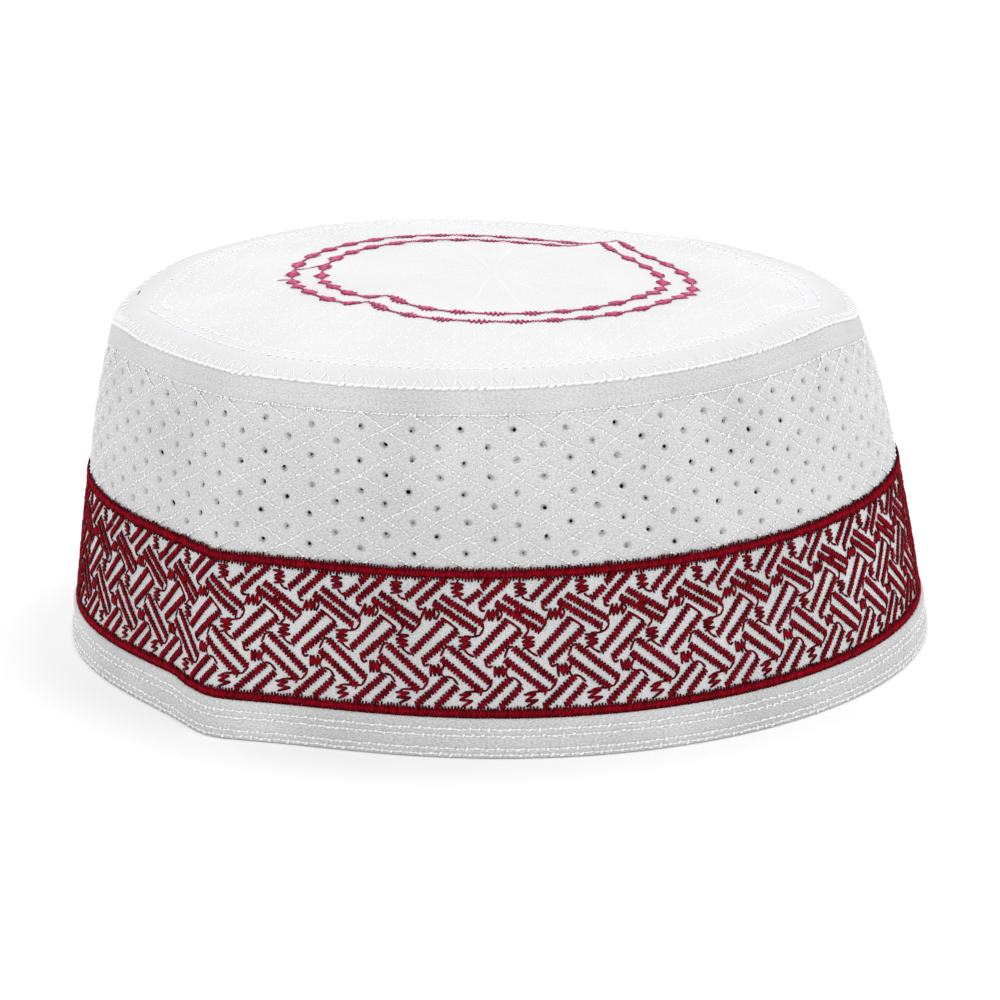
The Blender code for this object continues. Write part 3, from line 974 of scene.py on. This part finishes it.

# Painted shade on the roll, which faces out from the light above: how dark it is against the crown inside it,
# and the width over which that fades
ROLL_SHADE = 0.93
ROLL_SHADE_FADE = 0.004

# Rings of the crown's mesh: insets over the roll, how many inside it, and the inner
# face's as shares of the radius
CROWN_COLUMNS = 400
ROLL_INSETS = MM * np.array([0.0, 0.1, 0.4, 0.9, 1.6, 2.5, 3.5, 4.6, 5.8])
CROWN_RINGS = 66
INNER_SHARES = (0.03, 0.25, 0.5, 0.75, 0.9, 1.0)


def crown_grid(x, y):
    """Place on the crown's slanted grid: whole numbers lie on its two families of lines."""
    along = x * math.cos(CROWN_GRID_ANGLE) + y * math.sin(CROWN_GRID_ANGLE)
    across = -x * math.sin(CROWN_GRID_ANGLE) + y * math.cos(CROWN_GRID_ANGLE)
    first = 0.5 * (along / CROWN_HALF_LENGTH + across / CROWN_HALF_WIDTH)
    second = 0.5 * (along / CROWN_HALF_LENGTH - across / CROWN_HALF_WIDTH)
    return first, second


def grid_place(first, second):
    """Crown chart's point at a place on the slanted grid: the reverse of crown_grid."""
    along = CROWN_HALF_LENGTH * (first + second)
    across = CROWN_HALF_WIDTH * (first - second)
    x = along * math.cos(CROWN_GRID_ANGLE) - across * math.sin(CROWN_GRID_ANGLE)
    y = along * math.sin(CROWN_GRID_ANGLE) + across * math.cos(CROWN_GRID_ANGLE)
    return x, y


def quilted(x, y):
    """1 where the crown's diamond quilting runs: outside the rings and inside the rim's lines."""
    angle = np.arctan2(y, x)
    edge = crown_edge(angle)
    from_rings = np.hypot(x - RING_CENTRE[0], y - RING_CENTRE[1]) - QUILT_INSIDE
    from_rim = edge - RIM_LINES[1] - np.hypot(x, y)
    return np.clip(np.minimum(from_rings, from_rim) / QUILT_FADE, 0.0, 1.0)


def crown_relief(x, y):
    """Lift of the crown's cloth: each cell puffs with the root of its two sines, and rim lines sink in."""
    first, second = crown_grid(x, y)
    cells = np.sqrt(np.abs(np.sin(math.pi * first) * np.sin(math.pi * second)))
    lift = CROWN_PUFF * (cells - 0.5) * quilted(x, y)
    angle = np.arctan2(y, x)
    edge = crown_edge(angle)
    inset = edge - np.hypot(x, y)
    for line in RIM_LINES:
        lift = lift - CROWN_PUFF * np.exp(-((inset - line) / LINE_HALF_WIDTH) ** 2)
    return lift


def crown_rings(angle):
    """Crown chart's points ring by ring: the outer face from the seam in, the inner face back out."""
    edge = crown_edge(angle)
    outer = [edge - inset for inset in ROLL_INSETS]
    outer += [(edge - ROLL_WIDTH) * share for share in np.linspace(1.0, 0.02, CROWN_RINGS)]
    points = []
    for radius in outer:
        x = radius * np.cos(angle)
        y = radius * np.sin(angle)
        points.append(np.column_stack([x, y, crown_relief(x, y)]))
    for share in INNER_SHARES:
        radius = np.minimum((edge - CROWN_THICKNESS * (1.0 - share)) * share, edge - CROWN_THICKNESS)
        x = radius * np.cos(angle)
        y = radius * np.sin(angle)
        points.append(np.column_stack([x, y, np.full(len(angle), -CROWN_THICKNESS)]))
    return np.vstack(points), len(outer)


def crown_faces(outer_rings, rings):
    """Quads from ring to ring, a strip that closes the rim, and a fan at each face's centre."""
    row = np.delete(np.arange(rings - 1), outer_rings - 1)[:, None]
    column = np.arange(CROWN_COLUMNS)
    after = (column + 1) % CROWN_COLUMNS
    low = row * CROWN_COLUMNS
    high = low + CROWN_COLUMNS
    quads = np.stack([low + column, low + after, high + after, high + column], axis=-1).reshape(-1, 4)
    foot = (rings - 1) * CROWN_COLUMNS
    rim = np.column_stack([foot + column, foot + after, after, column])
    over = (outer_rings - 1) * CROWN_COLUMNS
    under = over + CROWN_COLUMNS
    top = np.full(CROWN_COLUMNS, rings * CROWN_COLUMNS)
    none = np.full(CROWN_COLUMNS, -1)
    fan_over = np.column_stack([over + column, over + after, top, none])
    fan_under = np.column_stack([under + after, under + column, top + 1, none])
    return np.vstack([quads, rim, fan_over, fan_under])


def add_crown(material):
    """Crown: rings of points over the roll and the dome, closed at the rim and at both centres."""
    angle = round_angle(np.arange(CROWN_COLUMNS) * ROUND / CROWN_COLUMNS)
    chart, outer_rings = crown_rings(angle)
    rings = len(chart) // CROWN_COLUMNS
    centres = np.array([[0.0, 0.0, 0.0], [0.0, 0.0, -CROWN_THICKNESS]])
    points = crown_point(*np.vstack([chart, centres]).T)
    foot = np.arange((rings - 1) * CROWN_COLUMNS, rings * CROWN_COLUMNS)
    points[foot, 2] = SEAM_HEIGHT + GAP - rim_dip(angle)
    inset = np.tile(crown_edge(angle), rings) - np.hypot(chart[:, 0], chart[:, 1])
    # Painted shade: the roll's colour is darkened, fading to the crown's full colour across the roll's inner
    # edge
    tone = mix(ROLL_SHADE, 1.0, np.clip((inset - ROLL_WIDTH) / ROLL_SHADE_FADE + 0.5, 0.0, 1.0))
    faces = crown_faces(outer_rings, rings)
    piece = add_piece("crown_cloth", points, faces, chart=points[:, :2], tone=np.append(tone, [1.0, 1.0]))
    finish_piece(piece, material, "white_crown", "crown_panel")


# Machine stitches: their length, the share of it that shows, and the thread's height
STITCH_LENGTH = 0.002
STITCH_FILLED = 0.82
SUNK_RISE = 0.6 * WHITE_RISE

# The bright slanting knot where two of them meet: how it differs from the thread, and
# how far its turn, reach and place stray
KNOT_HALF_LENGTH = 0.00034
KNOT_SLANT = math.radians(38)
KNOT_WIDTH = 1.6
KNOT_RISE = 1.3 * WHITE_RISE
KNOT_TURN = 0.8
KNOT_REACH = (0.7, 1.4)
KNOT_STRAY = 0.18 * MM
KNOT_BED_SPREAD = 0.08 * MM


def running(starts, ends):
    """Shorten each stitch about its middle, which leaves the gap to the next."""
    middle = 0.5 * (starts + ends)
    half = 0.5 * STITCH_FILLED * (ends - starts)
    return middle - half, middle + half


def machine_stitches(starts, ends, surface, bed, size=1.0):
    """A thread sunk along each stitch, and where it ends a thicker knot that slants across."""
    along = (ends - starts) / np.linalg.norm(ends - starts, axis=1, keepdims=True)
    square = np.column_stack([-along[:, 1], along[:, 0]])
    slant = KNOT_SLANT + random.uniform(-KNOT_TURN, KNOT_TURN, (len(starts), 1))
    reach = size * KNOT_HALF_LENGTH * random.uniform(*KNOT_REACH, (len(starts), 1))
    half = reach * (along * np.cos(slant) + square * np.sin(slant))
    middle = ends + random.uniform(-KNOT_STRAY, KNOT_STRAY, ends.shape)
    thread = size * WHITE_HALF_WIDTH
    sunk = stitch_arrays(*running(starts, ends), thread, SUNK_RISE, surface, bed=bed)
    knots = stitch_arrays(middle - half, middle + half, KNOT_WIDTH * thread, KNOT_RISE, surface, 4,
                          bed=bed, bed_spread=KNOT_BED_SPREAD)
    return [sunk, knots]


def line_round(level, step):
    """Stitches of one line round the cap at a level of the chart."""
    count = round(ROUND / step)
    way = np.arange(count + 1) * ROUND / count
    line = np.column_stack([way, np.full(count + 1, level)])
    return line[:-1], line[1:]


def add_wall_stitching(material):
    """White thread on the wall: quilting along both families of cell edges, and its top line."""
    stitches_per_edge = 4
    cells = np.arange(CELLS_ROUND) * 2 * CELL_HALF_WIDTH
    rows = np.arange(CELL_ROWS + 1)
    starts = []
    ends = []
    step = np.arange(stitches_per_edge + 1) / stitches_per_edge
    for lean in (1.0, -1.0):
        climb = rows[:, None, None] + step[None, None, :] + 1.0
        way = cells[None, :, None] + lean * climb * CELL_HALF_WIDTH
        height = BAND_TOP + (rows[:, None, None] + step[None, None, :]) * CELL_HALF_HEIGHT
        way, height = np.broadcast_arrays(way, height)
        line = np.stack([way, height], axis=-1)
        starts.append(line[:, :, :-1].reshape(-1, 2))
        ends.append(line[:, :, 1:].reshape(-1, 2))
    parts = machine_stitches(np.vstack(starts), np.vstack(ends), wall_point, WHITE_BED)
    parts += machine_stitches(*line_round(STITCH_HEIGHT, STITCH_LENGTH), wall_point, WHITE_BED)
    add_stitches("wall_stitching", parts, material, "white_wall")


# Zigzag over the crown's seam: how many, the places of its feet and top along the way
# and of its foot and top on the crown, and how far they stray
SEAM_ZIGZAGS = 130
SEAM_LEFT = -1.1 * MM
SEAM_RIGHT = 1.8 * MM
SEAM_TOP = -0.3 * MM
SEAM_FOOT_INSET = -0.2 * MM
SEAM_TOP_INSET = 2.7 * MM
SEAM_STRAY = 0.3 * MM
SEAM_HALF_WIDTH = 1.1 * WHITE_HALF_WIDTH

# Chain along the zigzag's feet: its inset, how far its links overlap and slant
CHAIN_INSET = 0.05 * MM
CHAIN_OVERLAP = 0.1 * MM
CHAIN_SLANT = 0.16 * MM
RIM_STITCH_LENGTH = 1.2 * STITCH_LENGTH


def add_seam_stitching(material):
    """White zigzag over the crown's seam: a leg up and a leg down, and a chain along their feet."""
    count = SEAM_ZIGZAGS
    middle = (np.arange(count) + 0.5) * ROUND / count
    middle = middle + random.uniform(-SEAM_STRAY, SEAM_STRAY, count)
    foot = np.full(count, SEAM_FOOT_INSET)
    peak = SEAM_TOP_INSET + random.uniform(-SEAM_STRAY, SEAM_STRAY, count)
    left = np.column_stack([middle + SEAM_LEFT, foot])
    right = np.column_stack([middle + SEAM_RIGHT, foot])
    top = np.column_stack([middle + SEAM_TOP, peak])
    parts = [
        stitch_arrays(start, end, SEAM_HALF_WIDTH, SUNK_RISE, rim_point, 5, bed=SEAM_BED)
        for start, end in ((left, top), (top, right))
    ]
    starts, ends = line_round(CHAIN_INSET, STITCH_LENGTH)
    slant = np.column_stack([
        np.full(len(starts), CHAIN_OVERLAP),
        random.uniform(0.0, CHAIN_SLANT, len(starts)),
    ])
    parts.append(stitch_arrays(starts - slant, ends + slant, WHITE_HALF_WIDTH, SUNK_RISE, rim_point, 4,
                               bed=SEAM_BED))
    for inset in RIM_LINES:
        parts += machine_stitches(*line_round(inset, RIM_STITCH_LENGTH), rim_point, WHITE_BED)
    add_stitches("seam_stitching", parts, material, "white_crown")


def add_crown_quilting(material):
    """White thread on the crown: running stitches on both families of the slanted grid."""
    reach = 24
    per_cell = 3
    lines = np.arange(-reach, reach + 1)
    step = np.arange(-reach * per_cell, reach * per_cell + 1) / per_cell
    starts = []
    ends = []
    for family in range(2):
        fixed = np.repeat(lines[:, None], len(step), axis=1).astype(float)
        moving = np.repeat(step[None, :], len(lines), axis=0)
        first, second = (fixed, moving) if family == 0 else (moving, fixed)
        line = np.stack(grid_place(first, second), axis=-1)
        starts.append(line[:, :-1].reshape(-1, 2))
        ends.append(line[:, 1:].reshape(-1, 2))
    starts = np.vstack(starts)
    ends = np.vstack(ends)
    middle = 0.5 * (starts + ends)
    kept = quilted(middle[:, 0], middle[:, 1]) > 0.0
    parts = machine_stitches(starts[kept], ends[kept], crown_point, QUILT_BED, QUILT_STITCH_SIZE)
    add_stitches("crown_quilting", parts, material, "white_crown")


# Star of the crown: how many dotted rays, from where to where, and their stitches
STAR_RAYS = 18
STAR_FROM = 0.0040
STAR_TO = 0.0310
STAR_STEP = 0.0011
STAR_HALF_STITCH = 0.22 * MM
STAR_SLANT = 0.3 * MM
STAR_THREAD = 0.7
STAR_BED = -0.1 * MM


def ring_chart(turn, radius):
    """Polar place about the rings' centre to the crown chart."""
    x = RING_CENTRE[0] + radius * np.cos(turn)
    y = RING_CENTRE[1] + radius * np.sin(turn)
    return np.column_stack([x, y])


def add_star(material):
    """White star: along each ray a row of short stitches lies across the line."""
    radius = np.arange(STAR_FROM, STAR_TO, STAR_STEP)
    parts = []
    for ray in range(STAR_RAYS):
        turn = 2.0 * math.pi * ray / STAR_RAYS
        starts = ring_chart(turn - STAR_HALF_STITCH / radius, radius)
        ends = ring_chart(turn + STAR_HALF_STITCH / radius, radius + STAR_SLANT)
        parts.append(stitch_arrays(starts, ends, STAR_THREAD * WHITE_HALF_WIDTH, STAR_THREAD * WHITE_RISE,
                                   crown_point, 4, bed=STAR_BED))
    add_stitches("crown_star", parts, material, "white_crown")


# Loose ends by the outer ring, in millimetres on the crown: a tail, a thread that
# runs on to the inner ring, and a tuft at the crown's edge
LOOSE_ENDS = (
    ((-37.0, -26.6), (-34.4, -25.0)),
    ((-39.6, -18.6), (-37.4, -15.8), (-35.8, -11.0)),
    ((-68.2, -36.8), (-67.4, -38.0), (-66.6, -39.4)),
)
LOOSE_HALF_WIDTH = 0.5 * RED_HALF_WIDTH
LOOSE_RISE = 0.6 * RED_RISE


# Lozenges of the rings: strokes in each, their widest swing and its raggedness, how
# fast the swing falls off from the middle, and its least share between two lozenges
LOZENGE_STROKES = 16
LOZENGE_SWING = 1.6 * MM
LOZENGE_RAGGED = 0.25 * MM
LOZENGE_TOP = 1.4
LOZENGE_FALL = 3.8
LOZENGE_LEAST = 0.03

# Uneven spacing of the lozenges: how far they stray in radians, and waves round a ring
RING_STRAY = 0.012
RING_WAVES = 7.0


def add_ring(name, radius, lozenges, material, loose_ends=()):
    """Ring of satin lozenges: a radial zigzag whose swing climbs and falls along each of them."""
    count = lozenges * LOZENGE_STROKES
    stroke = np.arange(count + 1)
    turn = stroke * 2.0 * math.pi / count
    place = np.mod(stroke, LOZENGE_STROKES) / LOZENGE_STROKES
    swell = np.clip(LOZENGE_TOP - LOZENGE_FALL * np.abs(place - 0.5), LOZENGE_LEAST, 1.0)
    swing = LOZENGE_SWING * swell * np.where(stroke % 2 == 0, -1.0, 1.0)
    swing = swing + random.uniform(-LOZENGE_RAGGED, LOZENGE_RAGGED, count + 1) * swell
    corners = ring_chart(turn + RING_STRAY * np.sin(RING_WAVES * turn), radius + swing)
    corners[-1] = corners[0]
    parts = [stitch_arrays(corners[:-1], corners[1:], RED_HALF_WIDTH, RED_RISE, crown_point,
                           bed=RED_BED, bed_spread=RED_BED_SPREAD)]
    for line in loose_ends:
        corners = np.array(line) * MM
        parts.append(stitch_arrays(corners[:-1], corners[1:], LOOSE_HALF_WIDTH, LOOSE_RISE, crown_point,
                                   bed=RED_BED))
    add_stitches(name + "_thread", parts, material, "pink_thread", name)


def add_hem_stitching(material):
    """White thread on the hem: one machine line in each of its grooves."""
    parts = []
    for index, height in enumerate(HEM_ROWS):
        starts, ends = line_round(height, STITCH_LENGTH)
        shift = np.array([HEM_ROW_SHIFT * index, 0.0])
        parts += machine_stitches(starts + shift, ends + shift, hem_point, HEM_BED, HEM_STITCH_SIZE)
    add_stitches("hem_stitching", parts, material, "white_hem")


# Relief of the woven floats and of a thread's plies
CLOTH_RELIEF = 0.12 * MM
THREAD_RELIEF = 0.08 * MM


def new_group(name, inputs, outputs):
    """Empty shader node group with named sockets."""
    group = bpy.data.node_groups.new(name, "ShaderNodeTree")
    for socket, kind, value in inputs:
        made = group.interface.new_socket(name=socket, in_out="INPUT", socket_type=kind)
        if value is not None:
            made.default_value = value
    for socket, kind in outputs:
        group.interface.new_socket(name=socket, in_out="OUTPUT", socket_type=kind)
    return group, group.nodes.new("NodeGroupInput"), group.nodes.new("NodeGroupOutput")


# A mix node's sockets by number: its factor, its two numbers, and its two colours
MIX_FACTOR = 0
MIX_NUMBERS = (2, 3)
MIX_COLOURS = (6, 7)
MIX_COLOUR_OUT = 2


def make_weave_group():
    """Satin-faced weave: long floats along the cloth, their grain, and soft wide shade."""
    group, given, out = new_group(
        "woven_cloth",
        (("Chart", "NodeSocketVector", None), ("Place", "NodeSocketVector", None),
         ("Float Length", "NodeSocketFloat", 0.0006), ("Thread", "NodeSocketFloat", 0.0003)),
        (("Height", "NodeSocketFloat"), ("Shade", "NodeSocketFloat"), ("Soft", "NodeSocketFloat")),
    )
    nodes = group.nodes
    links = group.links
    across = nodes.new("ShaderNodeCombineXYZ")
    links.new(given.outputs["Float Length"], across.inputs["X"])
    links.new(given.outputs["Thread"], across.inputs["Y"])
    across.inputs["Z"].default_value = 1.0
    cells = nodes.new("ShaderNodeVectorMath")
    cells.operation = "DIVIDE"
    links.new(given.outputs["Chart"], cells.inputs[0])
    links.new(across.outputs["Vector"], cells.inputs[1])
    floats = nodes.new("ShaderNodeTexNoise")
    floats.inputs["Scale"].default_value = 1.0
    floats.inputs["Detail"].default_value = 3.0
    links.new(cells.outputs["Vector"], floats.inputs["Vector"])
    links.new(floats.outputs["Fac"], out.inputs["Height"])
    shade = nodes.new("ShaderNodeMapRange")
    shade.inputs["From Min"].default_value = 0.3
    shade.inputs["From Max"].default_value = 0.7
    links.new(floats.outputs["Fac"], shade.inputs["Value"])
    links.new(shade.outputs["Result"], out.inputs["Shade"])
    soft = nodes.new("ShaderNodeTexNoise")
    soft.inputs["Scale"].default_value = 40.0
    soft.inputs["Detail"].default_value = 2.0
    links.new(given.outputs["Place"], soft.inputs["Vector"])
    links.new(soft.outputs["Fac"], out.inputs["Soft"])
    return group


def make_thread_group():
    """Spun thread: fine slanting ply lines and a tone that changes from stitch to stitch and carries the
    painted shade of its sides and ends.
    """
    group, given, out = new_group(
        "spun_thread",
        (("Place", "NodeSocketVector", None), ("Tone", "NodeSocketFloat", 0.5),
         ("Ply Scale", "NodeSocketFloat", 5200.0), ("Spread", "NodeSocketFloat", 0.6)),
        (("Height", "NodeSocketFloat"), ("Shade", "NodeSocketFloat")),
    )
    nodes = group.nodes
    links = group.links
    grain = nodes.new("ShaderNodeTexNoise")
    grain.inputs["Detail"].default_value = 2.0
    links.new(given.outputs["Place"], grain.inputs["Vector"])
    links.new(given.outputs["Ply Scale"], grain.inputs["Scale"])
    links.new(grain.outputs["Fac"], out.inputs["Height"])
    blend = nodes.new("ShaderNodeMix")
    blend.data_type = "FLOAT"
    links.new(given.outputs["Spread"], blend.inputs[MIX_FACTOR])
    links.new(grain.outputs["Fac"], blend.inputs[MIX_NUMBERS[0]])
    links.new(given.outputs["Tone"], blend.inputs[MIX_NUMBERS[1]])
    links.new(blend.outputs[0], out.inputs["Shade"])
    return group


def new_material(name, roughness, sheen=0.0, specular=0.5):
    """Material whose Principled shader has plain values for its gloss."""
    material = bpy.data.materials.new(name)
    material.use_nodes = True
    shader = material.node_tree.nodes["Principled BSDF"]
    shader.inputs["Roughness"].default_value = roughness
    shader.inputs["Sheen Weight"].default_value = sheen
    shader.inputs["Specular IOR Level"].default_value = specular
    return material, shader


def add_ramp(tree, low, high, low_at=0.0):
    """Ramp from one colour to another."""
    ramp = tree.nodes.new("ShaderNodeValToRGB")
    ramp.color_ramp.elements[0].position = low_at
    ramp.color_ramp.elements[0].color = (*low, 1.0)
    ramp.color_ramp.elements[1].color = (*high, 1.0)
    return ramp


def add_bump(tree, shader, height, strength, distance):
    """Fine relief of the threads, which the mesh doesn't hold."""
    bump = tree.nodes.new("ShaderNodeBump")
    bump.inputs["Strength"].default_value = strength
    bump.inputs["Distance"].default_value = distance
    tree.links.new(height, bump.inputs["Height"])
    tree.links.new(bump.outputs["Normal"], shader.inputs["Normal"])


def make_cloth(name, weave, dark, light, strength, roughness=0.55, painted_shade=False):
    """White satin-faced cotton: the weave group drives shade and bump, and a tone attribute may darken it
    with painted shade.
    """
    material, shader = new_material(name, roughness, sheen=0.12, specular=0.35)
    tree = material.node_tree
    chart = tree.nodes.new("ShaderNodeUVMap")
    chart.uv_map = "cloth_chart"
    place = tree.nodes.new("ShaderNodeTexCoord")
    woven = tree.nodes.new("ShaderNodeGroup")
    woven.node_tree = weave
    tree.links.new(chart.outputs["UV"], woven.inputs["Chart"])
    tree.links.new(place.outputs["Object"], woven.inputs["Place"])
    blend = tree.nodes.new("ShaderNodeMix")
    blend.data_type = "FLOAT"
    blend.inputs[MIX_FACTOR].default_value = 0.5
    tree.links.new(woven.outputs["Shade"], blend.inputs[MIX_NUMBERS[0]])
    tree.links.new(woven.outputs["Soft"], blend.inputs[MIX_NUMBERS[1]])
    ramp = add_ramp(tree, dark, light)
    tree.links.new(blend.outputs[0], ramp.inputs["Fac"])
    colour = ramp.outputs["Color"]
    # Painted shade: the tone attribute darkens the colour where it falls below 1
    if painted_shade:
        tone = tree.nodes.new("ShaderNodeAttribute")
        tone.attribute_name = "tone"
        shaded = tree.nodes.new("ShaderNodeMix")
        shaded.data_type = "RGBA"
        shaded.blend_type = "MULTIPLY"
        shaded.inputs[MIX_FACTOR].default_value = 1.0
        tree.links.new(colour, shaded.inputs[MIX_COLOURS[0]])
        tree.links.new(tone.outputs["Color"], shaded.inputs[MIX_COLOURS[1]])
        colour = shaded.outputs[MIX_COLOUR_OUT]
    tree.links.new(colour, shader.inputs["Base Color"])
    add_bump(tree, shader, woven.outputs["Height"], strength, CLOTH_RELIEF)
    return material


def make_thread(name, spun, dark, light, roughness, specular, spread, dark_at=0.0):
    """Embroidery thread: each stitch has its own tone and painted shade at its sides and ends, with fine ply
    grain over it.
    """
    material, shader = new_material(name, roughness, specular=specular)
    tree = material.node_tree
    place = tree.nodes.new("ShaderNodeTexCoord")
    tone = tree.nodes.new("ShaderNodeAttribute")
    tone.attribute_name = "tone"
    group = tree.nodes.new("ShaderNodeGroup")
    group.node_tree = spun
    group.inputs["Spread"].default_value = spread
    tree.links.new(place.outputs["Object"], group.inputs["Place"])
    tree.links.new(tone.outputs["Fac"], group.inputs["Tone"])
    # The ramp's dark end is the colour of the painted shade at the stitches' sides and ends
    ramp = add_ramp(tree, dark, light, dark_at)
    tree.links.new(group.outputs["Shade"], ramp.inputs["Fac"])
    tree.links.new(ramp.outputs["Color"], shader.inputs["Base Color"])
    add_bump(tree, shader, group.outputs["Height"], 0.4, THREAD_RELIEF)
    return material


def add_floor():
    """Pale floor: one large level disc."""
    sides = 64
    radius = 7.0
    turn = np.arange(sides) * 2.0 * math.pi / sides
    points = np.column_stack([radius * np.cos(turn), radius * np.sin(turn), np.zeros(sides)])
    mesh = bpy.data.meshes.new("floor")
    mesh.from_pydata(points.tolist(), [], [list(range(sides))])
    floor = bpy.data.objects.new("floor", mesh)
    bpy.context.scene.collection.objects.link(floor)
    material, shader = new_material("pale_floor", 0.9, specular=0.1)
    shader.inputs["Base Color"].default_value = (0.93, 0.93, 0.93, 1.0)
    mesh.materials.append(material)


def add_area_light(name, place, aim, size, power):
    """Round soft light that faces its aim."""
    data = bpy.data.lights.new(name, "AREA")
    data.shape = "DISK"
    data.size = size
    data.energy = power
    light = bpy.data.objects.new(name, data)
    ahead = np.array(aim) - place
    ahead = ahead / np.linalg.norm(ahead)
    side = np.cross(ahead, [0.0, 0.0, 1.0])
    side = side / np.linalg.norm(side)
    place_facing(light, side, np.cross(side, ahead), ahead, place)


def add_lighting(turn):
    """Pale room light, a large soft light overhead and weaker ones from the front left and right."""
    world = bpy.data.worlds.new("studio")
    world.use_nodes = True
    background = world.node_tree.nodes["Background"]
    background.inputs["Color"].default_value = (1.0, 1.0, 1.0, 1.0)
    background.inputs["Strength"].default_value = ROOM_LIGHT
    bpy.context.scene.world = world
    for name, place, aim_height, size, power in LIGHTS:
        add_area_light(name, turn @ np.array(place), (0.0, 0.0, aim_height), size, power)
    bpy.context.scene.view_settings.view_transform = "Standard"


def main():
    """The whole cap on its floor. Its order fixes the random draws."""
    turn = add_camera()
    add_floor()
    add_lighting(turn)
    weave = make_weave_group()
    spun = make_thread_group()
    # The wall's cloth is the crown's cotton set darker: painted shade for the upright wall, which takes less
    # of the light from above
    wall_cloth = make_cloth(
        "wall_satin", weave, dark=(0.37, 0.37, 0.375), light=(0.87, 0.87, 0.88), strength=1.7,
    )
    crown_cloth = make_cloth(
        "crown_satin", weave, dark=(0.58, 0.58, 0.59), light=(0.81, 0.81, 0.82), strength=0.6, painted_shade=True,
    )
    hem_cloth = make_cloth(
        "hem_cotton", weave, dark=(0.27, 0.27, 0.27), light=(0.85, 0.85, 0.85), strength=1.2, roughness=0.65,
    )
    white = make_thread(
        "white_thread", spun, dark=(0.90, 0.90, 0.91), light=(0.99, 0.99, 1.0),
        roughness=0.34, specular=0.6, spread=0.5,
    )
    red = make_thread(
        "red_thread", spun, dark=(0.02, 0.0, 0.001), light=(0.53, 0.002, 0.017),
        roughness=0.5, specular=0.05, spread=0.9, dark_at=0.05,
    )
    pink = make_thread(
        "pink_thread", spun, dark=(0.34, 0.02, 0.08), light=(0.92, 0.22, 0.42),
        roughness=0.5, specular=0.1, spread=0.8,
    )
    add_hem(hem_cloth)
    add_wall(wall_cloth)
    add_crown(crown_cloth)
    add_interlace(red)
    add_border("border_lower", LOWER_BORDER, red)
    add_border("border_upper", UPPER_BORDER, red)
    add_ring("crown_ring_outer", RING_OUTER_RADIUS, OUTER_LOZENGES, pink, LOOSE_ENDS)
    add_ring("crown_ring_inner", RING_INNER_RADIUS, INNER_LOZENGES, pink)
    add_wall_stitching(white)
    add_seam_stitching(white)
    add_crown_quilting(white)
    add_star(white)
    add_hem_stitching(white)


main()
bpy.context.view_layer.update()
